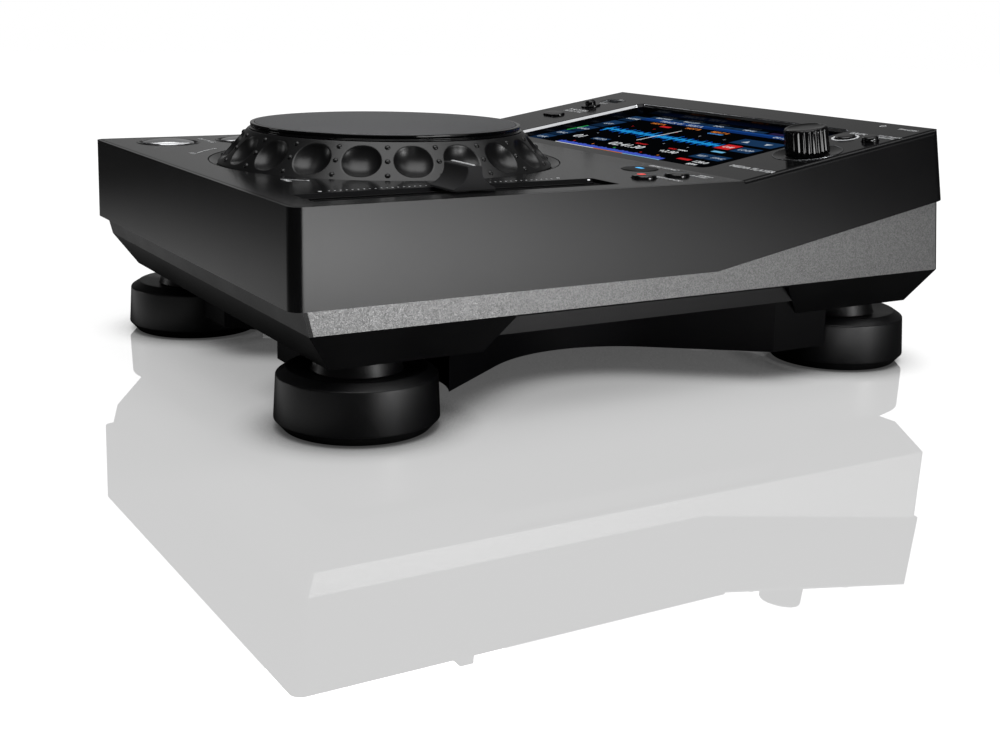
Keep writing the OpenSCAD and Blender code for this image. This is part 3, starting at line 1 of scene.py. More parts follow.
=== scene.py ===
"""Looks of a tabletop media player with a dimpled jog dial, a sloped touch screen and a tempo fader.

Every length in a class is in millimetres, and each mesh is scaled to metres as it is made.
+Z is up, the front faces -Y, and the origin is on the floor under the centre.
"""

import logging
import math
from dataclasses import dataclass, field
from enum import Enum
from functools import cache

import bmesh
import bpy
import numpy as np
from mathutils import Matrix, Vector


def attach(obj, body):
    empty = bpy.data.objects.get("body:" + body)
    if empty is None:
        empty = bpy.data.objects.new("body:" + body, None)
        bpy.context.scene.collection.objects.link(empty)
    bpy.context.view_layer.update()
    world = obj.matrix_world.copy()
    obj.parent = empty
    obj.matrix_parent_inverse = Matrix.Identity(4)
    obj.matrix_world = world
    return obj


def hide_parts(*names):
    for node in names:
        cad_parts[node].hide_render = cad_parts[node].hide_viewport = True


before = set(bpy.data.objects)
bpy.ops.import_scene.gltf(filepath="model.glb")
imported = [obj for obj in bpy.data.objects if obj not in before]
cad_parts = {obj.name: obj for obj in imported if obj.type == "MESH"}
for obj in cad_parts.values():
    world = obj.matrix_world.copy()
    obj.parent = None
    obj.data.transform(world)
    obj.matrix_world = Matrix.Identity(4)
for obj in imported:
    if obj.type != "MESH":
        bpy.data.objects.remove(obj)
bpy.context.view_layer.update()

log = logging.getLogger("player")
MM = 0.001
FULL_TURN = 2 * math.pi
DECK_Z = 84.75
CREASE_Y = 38.0
SLOPE = math.radians(9.4)
GLASS_TILT = math.atan(2.6 / 81.5)
JOG_Y = -59.0

Socket = bpy.types.NodeSocket
Colour = tuple[float, float, float, float]
Profile = list[tuple[float, ...]]


# ---- Colours and nodes ----


def linear(code: str) -> Colour:
    """Turns an sRGB hex colour into linear light.

    Args:
        code: A # and six hex digits.

    Returns:
        Red, green, blue and an alpha of one.
    """
    parts = np.array([int(code[i : i + 2], 16) / 255 for i in (1, 3, 5)])
    light = np.where(parts <= 0.04045, parts / 12.92, ((parts + 0.055) / 1.055) ** 2.4)
    return (*light.tolist(), 1.0)


def grey(level: float) -> Colour:
    """Returns a grey of a given level of linear light."""
    return (level, level, level, 1.0)


class Graph:
    """The node tree of a material or a world."""

    def __init__(self, owner: bpy.types.Material | bpy.types.World) -> None:
        """Empties the owner's node tree."""
        owner.use_nodes = True
        self.tree = owner.node_tree
        self.tree.nodes.clear()

    def add(self, kind: str, inputs: dict | None = None, **settings: object) -> bpy.types.Node:
        """Adds one node with its settings, values and links.

        Args:
            kind: The node's type name after ShaderNode.
            inputs: Values or sockets for the node's inputs, by name or place.
            settings: Properties of the node.

        Returns:
            The node.
        """
        node = self.tree.nodes.new("ShaderNode" + kind)
        for name, value in settings.items():
            setattr(node, name, value)
        for name, value in (inputs or {}).items():
            if isinstance(value, Socket):
                self.tree.links.new(value, node.inputs[name])
            else:
                node.inputs[name].default_value = value
        return node

    def ramp(self, value: Socket, low: float, high: float, start: float = 0.0, end: float = 1.0) -> Socket:
        """Returns a value whose range from low to high is mapped onto start to end."""
        return self.add("MapRange", {0: value, 1: low, 2: high, 3: start, 4: end}).outputs[0]

    def maths(self, operation: str, first: Socket | float, second: Socket | float) -> Socket:
        """Returns the outcome of an operation on two numbers."""
        return self.add("Math", {0: first, 1: second}, operation=operation).outputs[0]

    def mix(self, share: Socket, first: Socket | float, second: Socket | float) -> Socket:
        """Returns a mix of two numbers."""
        return self.add("Mix", {0: share, 2: first, 3: second}, data_type="FLOAT").outputs[0]

    def blend(
        self, share: Socket | float, first: Socket | Colour, second: Socket | Colour, mode: str = "MIX"
    ) -> Socket:
        """Returns a mix of two colours."""
        return self.add("Mix", {0: share, 6: first, 7: second}, data_type="RGBA", blend_type=mode).outputs[2]

    def length(self, vector: Socket) -> Socket:
        """Returns the length of a vector."""
        return self.add("VectorMath", {0: vector}, operation="LENGTH").outputs["Value"]

    def emission(self, strength: Socket | float) -> Socket:
        """Returns a white glow."""
        return self.add("Emission", {"Color": grey(1), "Strength": strength}).outputs[0]

    def shaders(self, share: Socket, first: Socket, second: Socket) -> Socket:
        """Returns a mix of two shaders."""
        return self.add("MixShader", {0: share, 1: first, 2: second}).outputs[0]


class Skin(Graph):
    """A material's tree with its shader, and the patterns that finishes share."""

    def __init__(self, material: bpy.types.Material, finish: "Finish") -> None:
        """Adds the shader, the output and the object coordinates."""
        super().__init__(material)
        self.colour = linear(finish.colour)
        self.roughness = finish.roughness
        self.shader = self.add(
            "BsdfPrincipled",
            {
                "Base Color": self.colour,
                "Metallic": finish.metallic,
                "Roughness": finish.roughness,
                "Specular IOR Level": finish.specular,
            },
        )
        self.add("OutputMaterial", {"Surface": self.shader.outputs[0]})
        self.place = self.add("TexCoord").outputs["Object"]

    def drive(self, name: str, value: Socket) -> None:
        """Links a value to one of the shader's inputs."""
        self.tree.links.new(value, self.shader.inputs[name])

    def noise(self, size_mm: float, detail: float, stretch: tuple[float, float, float] = (1, 1, 1)) -> Socket:
        """Cloudy noise whose blobs are size_mm across, drawn out by stretch.

        Args:
            size_mm: Size of a blob.
            detail: Number of finer layers.
            stretch: How much longer a blob is along each axis.

        Returns:
            A value of about 0.3 to 0.7.
        """
        scaled = self.add("Mapping", {"Vector": self.place, "Scale": tuple(1 / s for s in stretch)})
        inputs = {"Vector": scaled.outputs[0], "Scale": 1 / (size_mm * MM), "Detail": detail, "Roughness": 0.55}
        return self.add("TexNoise", inputs).outputs[0]

    def tint(self, value: Socket, other: str, low: float, high: float) -> None:
        """Mixes the finish's colour with another one where value is high."""
        self.drive("Base Color", self.blend(self.ramp(value, low, high), self.colour, linear(other)))

    def gloss(self, value: Socket, low: float, high: float, down: float, up: float) -> Socket:
        """Lets the roughness run with a value.

        Args:
            value: The value.
            low: Where the roughness starts to rise.
            high: Where it is highest.
            down: How far it starts below the finish's own.
            up: How far it ends above it.

        Returns:
            The roughness.
        """
        rough = self.ramp(value, low, high, self.roughness - down, self.roughness + up)
        self.drive("Roughness", rough)
        return rough

    def relief(self, height: Socket, depth_mm: float) -> None:
        """Lets a height pattern of depth_mm tilt the surface."""
        bump = self.add("Bump", {"Height": height, "Distance": depth_mm * MM, "Strength": 1.0})
        self.drive("Normal", bump.outputs[0])

    def shine(self, strength: float) -> None:
        """Makes the surface give light of its own, as strong as given."""
        self.shader.inputs["Emission Color"].default_value = self.colour
        self.shader.inputs["Emission Strength"].default_value = strength


# ---- Finishes ----


@dataclass(frozen=True)
class Finish:
    """What every finish has in common: a name, a colour and a gloss."""

    name: str
    colour: str
    roughness: float = 0.4
    specular: float = 0.5
    metallic: float = 0.0

    def make(self) -> bpy.types.Material:
        """Returns the material with the finish's own pattern."""
        material = bpy.data.materials.new(self.name)
        material.diffuse_color = linear(self.colour)
        self.pattern(Skin(material, self))
        return material

    def pattern(self, skin: Skin) -> None:
        """Adds what is particular to a kind of finish."""
        raise NotImplementedError


@dataclass(frozen=True)
class MouldedPlastic(Finish):
    """Plastic, moulded against an etched tool: fine pebble grain, slightly uneven gloss."""

    other: str = "#222224"
    grain_mm: float = 0.5
    grain_depth: float = 0.012
    uneven: float = 0.05
    flat_roughness: float = 0.0
    cloud_mm: float = 38.0

    def pattern(self, skin: Skin) -> None:
        """Adds the grain, a cloudy tone and a cloudy gloss.

        Args:
            skin: The material's tree.
        """
        cloud = skin.noise(self.cloud_mm, 4)
        skin.tint(cloud, self.other, 0.38, 0.66)
        rough = skin.gloss(cloud, 0.3, 0.7, self.uneven, self.uneven)
        if self.flat_roughness:
            # the tool was polished more under the faces that lie flat
            up = skin.add("SeparateXYZ", {0: skin.add("TexCoord").outputs["Normal"]}).outputs[2]
            skin.drive("Roughness", skin.mix(skin.ramp(up, 0.85, 0.97), rough, self.flat_roughness))
        skin.relief(skin.noise(self.grain_mm, 3), self.grain_depth)


@dataclass(frozen=True)
class SparklePaint(Finish):
    """Silver paint over moulded ABS: metal flakes of different tilt and tone."""

    light: str = "#777777"
    flake_mm: float = 0.42
    flake_depth: float = 0.02

    def pattern(self, skin: Skin) -> None:
        """Gives each flake a tone, a gloss and a height of its own.

        Args:
            skin: The material's tree.
        """
        flakes = skin.add("TexVoronoi", {"Vector": skin.place, "Scale": 1 / (self.flake_mm * MM)})
        tone, dull, high = skin.add("SeparateColor", {0: flakes.outputs["Color"]}).outputs
        skin.tint(tone, self.light, 0, 1)
        skin.gloss(dull, 0, 1, 0.1, 0.12)
        skin.relief(high, self.flake_depth)


@dataclass(frozen=True)
class PolishedPlastic(Finish):
    """Plastic moulded against a polished tool: deep gloss, faint waves and wiping marks."""

    wave_mm: float = 9.0
    wave_depth: float = 0.01
    smear_mm: float = 6.0

    def pattern(self, skin: Skin) -> None:
        """Adds long smears in the gloss and low waves.

        Args:
            skin: The material's tree.
        """
        skin.gloss(skin.noise(self.smear_mm, 5, (4, 1, 1)), 0.35, 0.75, 0, 0.08)
        skin.relief(skin.noise(self.wave_mm, 1), self.wave_depth)


@dataclass(frozen=True)
class SpunPlate(Finish):
    """Anodised aluminium, spun: concentric hairlines round the dial's axis."""

    axis_y: float = JOG_Y
    line_mm: float = 0.5
    line_depth: float = 0.006
    other: str = "#58595d"

    def pattern(self, skin: Skin) -> None:
        """Lets the radius r = |(x, y - axis_y)| drive the lines.

        Args:
            skin: The material's tree.
        """
        shift = {"Vector": skin.place, "Location": (0, -self.axis_y * MM, 0), "Scale": (1, 1, 0)}
        radius = skin.length(skin.add("Mapping", shift).outputs[0])
        inputs = {"W": radius, "Scale": 1 / (self.line_mm * MM), "Detail": 3.0, "Roughness": 0.7}
        lines = skin.add("TexNoise", inputs, noise_dimensions="1D").outputs[0]
        skin.tint(lines, self.other, 0.3, 0.75)
        skin.gloss(lines, 0.25, 0.75, 0.06, 0.08)
        skin.relief(lines, self.line_depth)


@dataclass(frozen=True)
class BareMetal(Finish):
    """Metal that is machined, plated or pressed: fine marks along one way and dull patches."""

    other: str = "#8d8e90"
    mark_mm: float = 0.35
    mark_depth: float = 0.003
    patch_mm: float = 7.0

    def pattern(self, skin: Skin) -> None:
        """Adds the marks and the patches.

        Args:
            skin: The material's tree.
        """
        marks = skin.noise(self.mark_mm, 3, (12, 1, 1))
        skin.tint(skin.noise(self.patch_mm, 3), self.other, 0.35, 0.7)
        skin.gloss(marks, 0.3, 0.7, 0.05, 0.06)
        skin.relief(marks, self.mark_depth)


@dataclass(frozen=True)
class MouldedRubber(Finish):
    """Moulded rubber: dull and finely pitted, with a little bloom."""

    bloom: str = "#141415"
    bloom_mm: float = 16.0
    pit_mm: float = 0.7
    pit_depth: float = 0.05

    def pattern(self, skin: Skin) -> None:
        """Adds the bloom and the pits."""
        skin.tint(skin.noise(self.bloom_mm, 4), self.bloom, 0.4, 0.75)
        skin.relief(skin.noise(self.pit_mm, 4), self.pit_depth)


@dataclass(frozen=True)
class CircuitBoard(Finish):
    """Glass-fibre board under green solder mask: glossy, with lighter tracks."""

    track: str = "#2c6b45"
    track_depth: float = 0.03

    def pattern(self, skin: Skin) -> None:
        """Adds the tracks as the joints of a brick pattern.

        Args:
            skin: The material's tree.
        """
        sizes = {"Scale": 180.0, "Mortar Size": 0.04, "Brick Width": 0.9, "Row Height": 0.22}
        tracks = skin.add("TexBrick", {"Vector": skin.place, **sizes}).outputs["Fac"]
        skin.tint(tracks, self.track, 0, 1)
        skin.relief(tracks, self.track_depth)


@dataclass(frozen=True)
class PadPrint(Finish):
    """Pad-printed ink: matt, a little thin in places."""

    thin: str = "#b9bbbd"
    spot_mm: float = 1.2

    def pattern(self, skin: Skin) -> None:
        """Adds the thin places."""
        skin.tint(skin.noise(self.spot_mm, 3), self.thin, 0.45, 0.8)


@dataclass(frozen=True)
class LitLens(Finish):
    """Clear polycarbonate over a lit lamp: glossy, evenly lit."""

    glow: float = 1.0

    def pattern(self, skin: Skin) -> None:
        """Lights the lens in its own colour."""
        skin.shine(self.glow)


@dataclass(frozen=True)
class LitPicture(Finish):
    """Display under coated cover glass: colours shine from the mesh's own colour attribute."""

    glow: float = 0.78
    attribute: str = "picture"
    dot_mm: float = 0.25
    smear_mm: float = 14.0

    def pattern(self, skin: Skin) -> None:
        """Shows the attribute through a fine dot grid like a display's pixels.

        Args:
            skin: The material's tree.
        """
        skin.shine(self.glow)
        picture = skin.add("VertexColor", layer_name=self.attribute).outputs[0]
        dots = skin.ramp(skin.noise(self.dot_mm, 1), 0.3, 0.7, 0.94, 1)
        skin.drive("Emission Color", skin.blend(1.0, picture, dots, "MULTIPLY"))
        skin.gloss(skin.noise(self.smear_mm, 4), 0.35, 0.75, 0, 0.05)


LOOKS: dict[str, Finish] = {
    # Cover: ABS moulded on a fine etched tool, a satin black that shows soft broad reflections.
    "cover": MouldedPlastic(
        "satin_black_abs_moulded", "#0b0b0c", 0.24, 0.22, other="#0d0d0e", uneven=0.012, flat_roughness=0.14
    ),
    # Base: ABS with a coarser etched grain, duller and darker than the cover.
    "base": MouldedPlastic(
        "textured_black_abs_moulded", "#080809", 0.42, 0.16, other="#0b0b0c", grain_mm=0.8, grain_depth=0.04
    ),
    # Fader cap: dull soft-touch ABS that shows its shape by plain shading.
    "cap": MouldedPlastic(
        "soft_touch_abs_moulded", "#262627", 0.7, 0.15, other="#2b2b2c", grain_mm=0.7, grain_depth=0.02
    ),
    # Pan: black ABS under the body, duller than the base, and a darker copy of the base's colour that stands in for
    # the shade there: painted shade.
    "pan": MouldedPlastic(
        "black_abs_painted_shade_moulded", "#050506", 0.55, 0.06, other="#08080a", grain_mm=0.9, grain_depth=0.04
    ),
    # Feet: the same ABS as the base, from a smoother tool.
    "foot": MouldedPlastic(
        "fine_black_abs_moulded", "#08080a", 0.36, 0.32, other="#0b0b0c", grain_mm=0.6, grain_depth=0.03
    ),
    # Dial: ABS with a semi-gloss skin, so each finger dimple holds a soft highlight.
    "dial": MouldedPlastic(
        "semi_gloss_black_abs_moulded", "#09090a", 0.34, 0.46,
        other="#0c0c0d", grain_mm=0.45, grain_depth=0.01, uneven=0.015,
    ),
    # Keys and caps: soft-touch black ABS.
    "key": MouldedPlastic(
        "soft_black_abs_moulded", "#0e0e0f", 0.6, 0.36,
        other="#111112", grain_mm=0.4, grain_depth=0.01, uneven=0.015,
    ),
    # Fader line and plunger: white acetal, plain and slightly waxy.
    "white": MouldedPlastic("white_acetal_moulded", "#d4d5d6", 0.4, 0.4, other="#cbccce"),
    # Rings of the audio pair: red and ivory ABS.
    "signal_red": MouldedPlastic("red_abs_moulded", "#a3211e", 0.35, 0.4, other="#991d1b"),
    "signal_white": MouldedPlastic("ivory_abs_moulded", "#dcdcd8", 0.35, 0.4, other="#d2d2ce"),
    # Side trims: silver paint that glitters in fine grains.
    "silver": SparklePaint("silver_paint_sprayed", "#5a5a5a", 0.42, 0.4, 0.5),
    # Glossy rings, knob and bezel: black that mirrors the lamps sharply.
    "gloss": PolishedPlastic("gloss_black_abs_polished", "#060607", 0.06, 0.3),
    # Cap faces: black lacquer that mirrors the lamps in hard spots.
    "lacquer": PolishedPlastic("black_lacquer_sprayed", "#070708", 0.13, 0.5, wave_mm=5, wave_depth=0.006),
    # Touch glass: smoked, flat and almost without waves.
    "glass": PolishedPlastic("smoked_glass_drawn", "#070809", 0.04, 0.3, wave_depth=0.002),
    # Dial's top: dark grey metal with a soft sheen round its middle.
    "plate": SpunPlate("anodised_aluminium_spun", "#4b4c4f", 0.34, 0.5, 0.85),
    # Play and cue: bright chrome that mirrors the room.
    "chrome": BareMetal("chrome_electroplated", "#d3d4d6", 0.09, 0.5, 1.0, other="#c6c7ca"),
    # Rims: fine polished metal lines round glossy parts; the one round the browse dish stands in for the highlight on
    # the dish's rounded edge, a painted highlight.
    "rim": BareMetal("rim_metal_painted_highlight", "#8d8f92", 0.22, 0.5, 1.0, other="#7f8184"),
    # Inner metal: grey steel, brighter zinc, brown bearing bronze and the printed film of the touch switch.
    "steel": BareMetal("steel_machined", "#9a9c9f", 0.3, 0.5, 1.0),
    "zinc": BareMetal("zinc_plated_steel_pressed", "#a9acaf", 0.34, 0.5, 1.0, other="#989b9e"),
    "bronze": BareMetal("sintered_bronze_pressed", "#a4814c", 0.45, 0.5, 1.0, other="#8f6e3f"),
    "film": BareMetal("polyester_contact_film_printed", "#b8a266", 0.4, 0.5, 0.3, other="#a8925a"),
    # Soles: dull black with a fine bloom.
    "rubber": MouldedRubber("black_rubber_moulded", "#0a0a0b", 0.75, 0.15),
    # Boards: glossy dark green.
    "board": CircuitBoard("fibreglass_board_solder_masked", "#1b4a30", 0.3, 0.5),
    # Prints: matt white.
    "ink": PadPrint("white_ink_pad_printed", "#d9dadc", 0.6, 0.3),
    # Lamps: small lenses that glow evenly.
    "white_lens": LitLens("polycarbonate_lens_lit_white", "#f2f4f6", 0.1, 0.5, glow=0.7),
    "cyan_lens": LitLens("polycarbonate_lens_lit_blue", "#35a7e8", 0.1, 0.5, glow=0.9),
    "red_lens": LitLens("polycarbonate_lens_lit_red", "#e0392f", 0.1, 0.5, glow=0.8),
    # Screen: bright colours on black.
    "screen": LitPicture("coated_glass_over_lit_display", "#020203", 0.12, 0.0),
}

# The CAD nodes that stay in view, by their finish.
CARRIED: dict[str, tuple[str, ...]] = {
    "cover": ("cover",),
    "base": ("base_tray", "encoder_wheel", "encoder_sensor", "mains_inlet"),
    "pan": ("bottom_pan", "fader_trim"),
    "silver": ("trim_left", "trim_right"),
    "steel": ("foot_screws", "case_screws", "jog_shaft", "fader_lever", "browse_shaft"),
    "zinc": ("jog_bracket", "fader_body", "browse_encoder", "stick_socket", "display_module", "rear_sockets"),
    "bronze": ("jog_bearing",),
    "film": ("jog_touch_switch",),
    "board": ("control_board", "panel_board", "main_board", "power_supply"),
    "white": ("browse_plunger",),
    "gloss": ("screen_bezel",),
    "glass": ("touch_glass",),
    "key": ("power_button",),
}


@cache
def material(look: str) -> bpy.types.Material:
    """Returns a finish's material, which is made once."""
    return LOOKS[look].make()


def carry_nodes() -> None:
    """Gives the CAD nodes that stay in view their finish."""
    for look, nodes in CARRIED.items():
        for node in nodes:
            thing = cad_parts[node]
            thing.data.materials.clear()
            thing.data.materials.append(material(look))


# ---- Shapes ----


class Panel(Enum):
    """The faces that carry controls."""

    DECK = "deck"
    SLOPE = "slope"
    GLASS = "glass"
    REAR = "rear"

    def at(self, x: float = 0.0, s: float = 0.0, up: float = 0.0) -> Matrix:
        """Gives the local frame of a place on the panel, in mm.

        Args:
            x: Distance right of the middle.
            s: Distance back (deck), up the slope or glass, or height (rear).
            up: Height above the panel, or distance back (rear).

        Returns:
            A matrix whose z axis points out of the panel.
        """
        if self is Panel.DECK:
            return Matrix.Translation((x, s, DECK_Z + up))
        if self is Panel.REAR:
            return Matrix(((-1, 0, 0, x), (0, 0, 1, up), (0, 1, 0, s), (0, 0, 0, 1)))
        home = Matrix.Translation((0, CREASE_Y, DECK_Z)) @ Matrix.Rotation(SLOPE, 4, "X")
        if self is Panel.GLASS:
            # the glass lies sunk in its opening and leans a little less than the slope
            home = home @ (Matrix.Translation((5.5, 6.2, -3.4)) @ Matrix.Rotation(-GLASS_TILT, 4, "X"))
        return home @ Matrix.Translation((x, s, up))


@dataclass
class Shape:
    """Points in mm and the faces between them."""

    points: np.ndarray
    faces: list

    def at(self, matrix: Matrix) -> "Shape":
        """Returns the shape placed by a matrix."""
        m = np.array(matrix)
        return Shape(self.points @ m[:3, :3].T + m[:3, 3], self.faces)

    @staticmethod
    def joined(shapes: list["Shape"]) -> "Shape":
        """Returns several shapes as one."""
        points, faces, start = [], [], 0
        for shape in shapes:
            points.append(shape.points)
            faces += [[i + start for i in f] for f in shape.faces]
            start += len(shape.points)
        return Shape(np.concatenate(points), faces)


def unit(angle: np.ndarray) -> np.ndarray:
    """Returns the points (cos a, sin a)."""
    return np.stack([np.cos(angle), np.sin(angle)], -1)


def raised(loop: np.ndarray, z: float) -> np.ndarray:
    """Returns an outline as points at height z."""
    return np.column_stack([loop, np.full(len(loop), z)])


def loft(rings: np.ndarray, caps: bool = True, closed: bool = False) -> Shape:
    """Joins rings of points into a skin: face (i, j) spans rings i, i+1 and points j, j+1.

    Args:
        rings: An array of rings by points by three.
        caps: Whether the first and last ring are closed by a face.
        closed: Whether the last ring joins the first one.

    Returns:
        The skin.
    """
    count, around = rings.shape[:2]
    i, j = np.meshgrid(np.arange(count if closed else count - 1), np.arange(around), indexing="ij")
    ahead, beside = (i + 1) % count, (j + 1) % around
    quads = np.stack([i * around + j, i * around + beside, ahead * around + beside, ahead * around + j], -1)
    faces = quads.reshape(-1, 4).tolist()
    if caps and not closed:
        faces.append(list(range(around))[::-1])
        faces.append(list(range((count - 1) * around, count * around)))
    return Shape(rings.reshape(-1, 3), faces)


def rounded(path: Profile, steps: int) -> np.ndarray:
    """Rounds the corners of a line. A corner given as (a, b, r) becomes the curve
    p(t) = (1-t)^2 p0 + 2t(1-t) c + t^2 p1, whose ends lie r from the corner c.

    Args:
        path: Points (a, b) or (a, b, r).
        steps: Steps along each curve.

    Returns:
        The points of the rounded line.
    """
    found = []
    flat = np.array([p[:2] for p in path], float)
    for k, p in enumerate(path):
        if len(p) < 3 or k in (0, len(path) - 1):
            found.append(flat[k])
            continue
        before, after = flat[k - 1] - flat[k], flat[k + 1] - flat[k]
        p0 = flat[k] + before * min(p[2] / np.linalg.norm(before), 0.5)
        p1 = flat[k] + after * min(p[2] / np.linalg.norm(after), 0.5)
        t = np.linspace(0, 1, steps + 1)[:, None]
        found.extend((1 - t) ** 2 * p0 + 2 * t * (1 - t) * flat[k] + t**2 * p1)
    return np.array(found)


def revolve(path: Profile, segments: int = 96, steps: int = 5) -> Shape:
    """Turns a rounded profile (r, z) round the z axis: p = (r cos a, r sin a, z).

    Args:
        path: Corners of the profile, from the axis or closed on itself.
        segments: Number of steps round the axis.
        steps: Steps along each rounded corner.

    Returns:
        A closed skin.
    """
    line = rounded(path, steps)
    way = unit(np.linspace(0, FULL_TURN, segments, endpoint=False))
    rings = np.array([raised(r * way, z) for r, z in line])
    closed = bool(line[0][0] > 1e-6 and np.allclose(line[0], line[-1]))
    return loft(rings[:-1] if closed else rings, caps=False, closed=closed)


def tube(inner: float, outer: float, low: float, high: float, segments: int, edge: float = 0.1) -> Shape:
    """A flat ring whose upper edges are rounded.

    Args:
        inner: Inner radius.
        outer: Outer radius.
        low: Height of the underside.
        high: Height of the top.
        segments: Number of steps round the axis.
        edge: Size of the rounded edges.

    Returns:
        A closed skin.
    """
    return revolve([(inner, low), (outer, low), (outer, high, edge), (inner, high, edge), (inner, low)], segments, 3)


def outline(width: float, length: float, radius: float, steps: int = 8) -> np.ndarray:
    """A rectangle with round corners, as points in the plane: corner centre + radius (cos a, sin a).

    Args:
        width: Size along x.
        length: Size along y.
        radius: Radius of the corners.
        steps: Steps round each corner.

    Returns:
        The points, anticlockwise.
    """
    radius = max(min(radius, width / 2 - 0.01, length / 2 - 0.01), 0.01)
    parts = []
    for k, (sx, sy) in enumerate(((1, 1), (-1, 1), (-1, -1), (1, -1))):
        angle = np.linspace(k * math.pi / 2, (k + 1) * math.pi / 2, steps + 1)
        centre = np.array([sx * (width / 2 - radius), sy * (length / 2 - radius)])
        parts.append(centre + radius * unit(angle))
    return np.concatenate(parts)


def pad(
    width: float, length: float, radius: float, low: float, high: float, edge: float, crown: float = 0.0
) -> Shape:
    """A pad with a rounded top edge: for t from 0 to 90 degrees the outline is inset by
    edge (1 - cos t) and lies at high - edge (1 - sin t); further rings crown it.

    Args:
        width: Size along x.
        length: Size along y.
        radius: Corner radius.
        low: Height of the underside.
        high: Height of the top at its edge.
        edge: Radius of the rounded top edge.
        crown: Added height of the middle.

    Returns:
        A closed skin.
    """
    rings = [(0.0, low)]
    for t in np.linspace(0, math.pi / 2, 7):
        rings.append((edge * (1 - math.cos(t)), high - edge * (1 - math.sin(t))))
    reach = min(width, length) / 2
    for k in (0.35, 0.65, 0.9):
        rings.append((edge + (reach - edge) * k, high + crown * (1 - (1 - k) ** 2)))
    return loft(
        np.array([raised(outline(width - 2 * q, length - 2 * q, max(radius - q, 0.05)), z) for q, z in rings])
    )


def plates(loops: list[np.ndarray], low: float, high: float) -> Shape:
    """Straight-sided plates of given outlines.

    Args:
        loops: Outlines in the plane, anticlockwise.
        low: Height of the undersides.
        high: Height of the tops.

    Returns:
        The plates as one shape.
    """
    return Shape.joined([loft(np.array([raised(loop, low), raised(loop, high)])) for loop in loops])


def box(x0: float, x1: float, y0: float, y1: float, z0: float, z1: float) -> Shape:
    """A block between two corners."""
    return plates([np.array([[x0, y0], [x1, y0], [x1, y1], [x0, y1]], float)], z0, z1)


def disc(radius: float, x: float, y: float, count: int) -> np.ndarray:
    """Returns the outline of a circle round (x, y)."""
    return np.array([x, y]) + radius * unit(np.linspace(0, FULL_TURN, count, endpoint=False))


def round_cap(r: float, h: float) -> Shape:
    """A round button: straight wall, a generous rounded edge and a slightly domed top."""
    edge = min(h * 0.75 + 0.2, r * 0.35)
    return revolve([(0, -2.6), (r, -2.6), (r, h - 0.15, edge), (r * 0.55, h, 1.0), (0, h)], 72, 8)


def lettering(words: str, size: float, thickness: float = 0.06) -> Shape:
    """Raised letters in the plane, size mm high and centred on the origin.

    Args:
        words: Plain generic words, figures or signs.
        size: Height of the letters.
        thickness: Height of the raised print.

    Returns:
        The letters as one shape.
    """
    curve = bpy.data.curves.new("words", "FONT")
    curve.body = words
    # a capital of the built-in font is 1 / 1.39 of its size
    curve.size = size * 1.39
    curve.resolution_u = 3
    curve.fill_mode = "BOTH"
    curve.extrude = thickness / 2
    curve.align_x = "CENTER"
    holder = bpy.data.objects.new("words", curve)
    bpy.context.scene.collection.objects.link(holder)
    bpy.context.view_layer.update()
    mesh = bpy.data.meshes.new_from_object(holder.evaluated_get(bpy.context.evaluated_depsgraph_get()))
    points = np.empty(len(mesh.vertices) * 3, np.float32)
    mesh.vertices.foreach_get("co", points)
    faces = [list(p.vertices) for p in mesh.polygons]
    bpy.data.objects.remove(holder)
    bpy.data.curves.remove(curve)
    bpy.data.meshes.remove(mesh)
    points = points.reshape(-1, 3).astype(float)
    return Shape(points + np.array([0, -size / 2, thickness / 2]), faces)


def printed(panel: Panel, words: tuple[tuple[str, float, float, float], ...]) -> list[Shape]:
    """Sets words on a panel.

    Args:
        panel: The panel.
        words: Each word, its place on the panel and its height.

    Returns:
        The words as shapes.
    """
    return [lettering(text, size).at(panel.at(x, s)) for text, x, s, size in words]


def welded(shape: Shape) -> Shape:
    """Returns a shape whose points that lie together are one."""
    _, first, place = np.unique(np.round(shape.points, 4), axis=0, return_index=True, return_inverse=True)
    faces = [list(dict.fromkeys(place.ravel()[face].tolist())) for face in shape.faces]
    return Shape(shape.points[first], [face for face in faces if len(face) > 2])


def to_object(
    name: str,
    shape: Shape,
    look: str,
    body: str,
    replaces: tuple[str, ...] = (),
    sharp: float = 35.0,
    merge: bool = True,
) -> bpy.types.Object:
    """Turns a shape into a piece, and ties it to its body and the nodes that it stands for.

    Args:
        name: Name of the piece.
        shape: Points in mm and faces.
        look: Its finish, by its name in LOOKS.
        body: The CAD body that it rides on.
        replaces: CAD nodes that it stands for.
        sharp: Angle in degrees above which an edge stays sharp.
        merge: Whether points that lie together become one.

    Returns:
        The object, at the origin, with its place in its mesh.
    """
    mesh = bpy.data.meshes.new(name)
    mesh.from_pydata((shape.points * MM).tolist(), [], shape.faces)
    work = bmesh.new()
    work.from_mesh(mesh)
    if merge:
        bmesh.ops.remove_doubles(work, verts=work.verts, dist=1e-6)
        bmesh.ops.dissolve_degenerate(work, edges=work.edges, dist=1e-7)
    bmesh.ops.recalc_face_normals(work, faces=work.faces)
    work.to_mesh(mesh)
    work.free()
    mesh.polygons.foreach_set("use_smooth", np.ones(len(mesh.polygons), bool))
    mesh.set_sharp_from_angle(angle=math.radians(sharp))
    mesh.materials.append(material(look))
    mesh.update()
    piece = bpy.data.objects.new(name, mesh)
    bpy.context.scene.collection.objects.link(piece)
    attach(piece, body)
    if replaces:
        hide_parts(*replaces)
    log.info("piece %s on %s, %d faces", name, body, len(mesh.polygons))
    return piece


# ---- Case ----


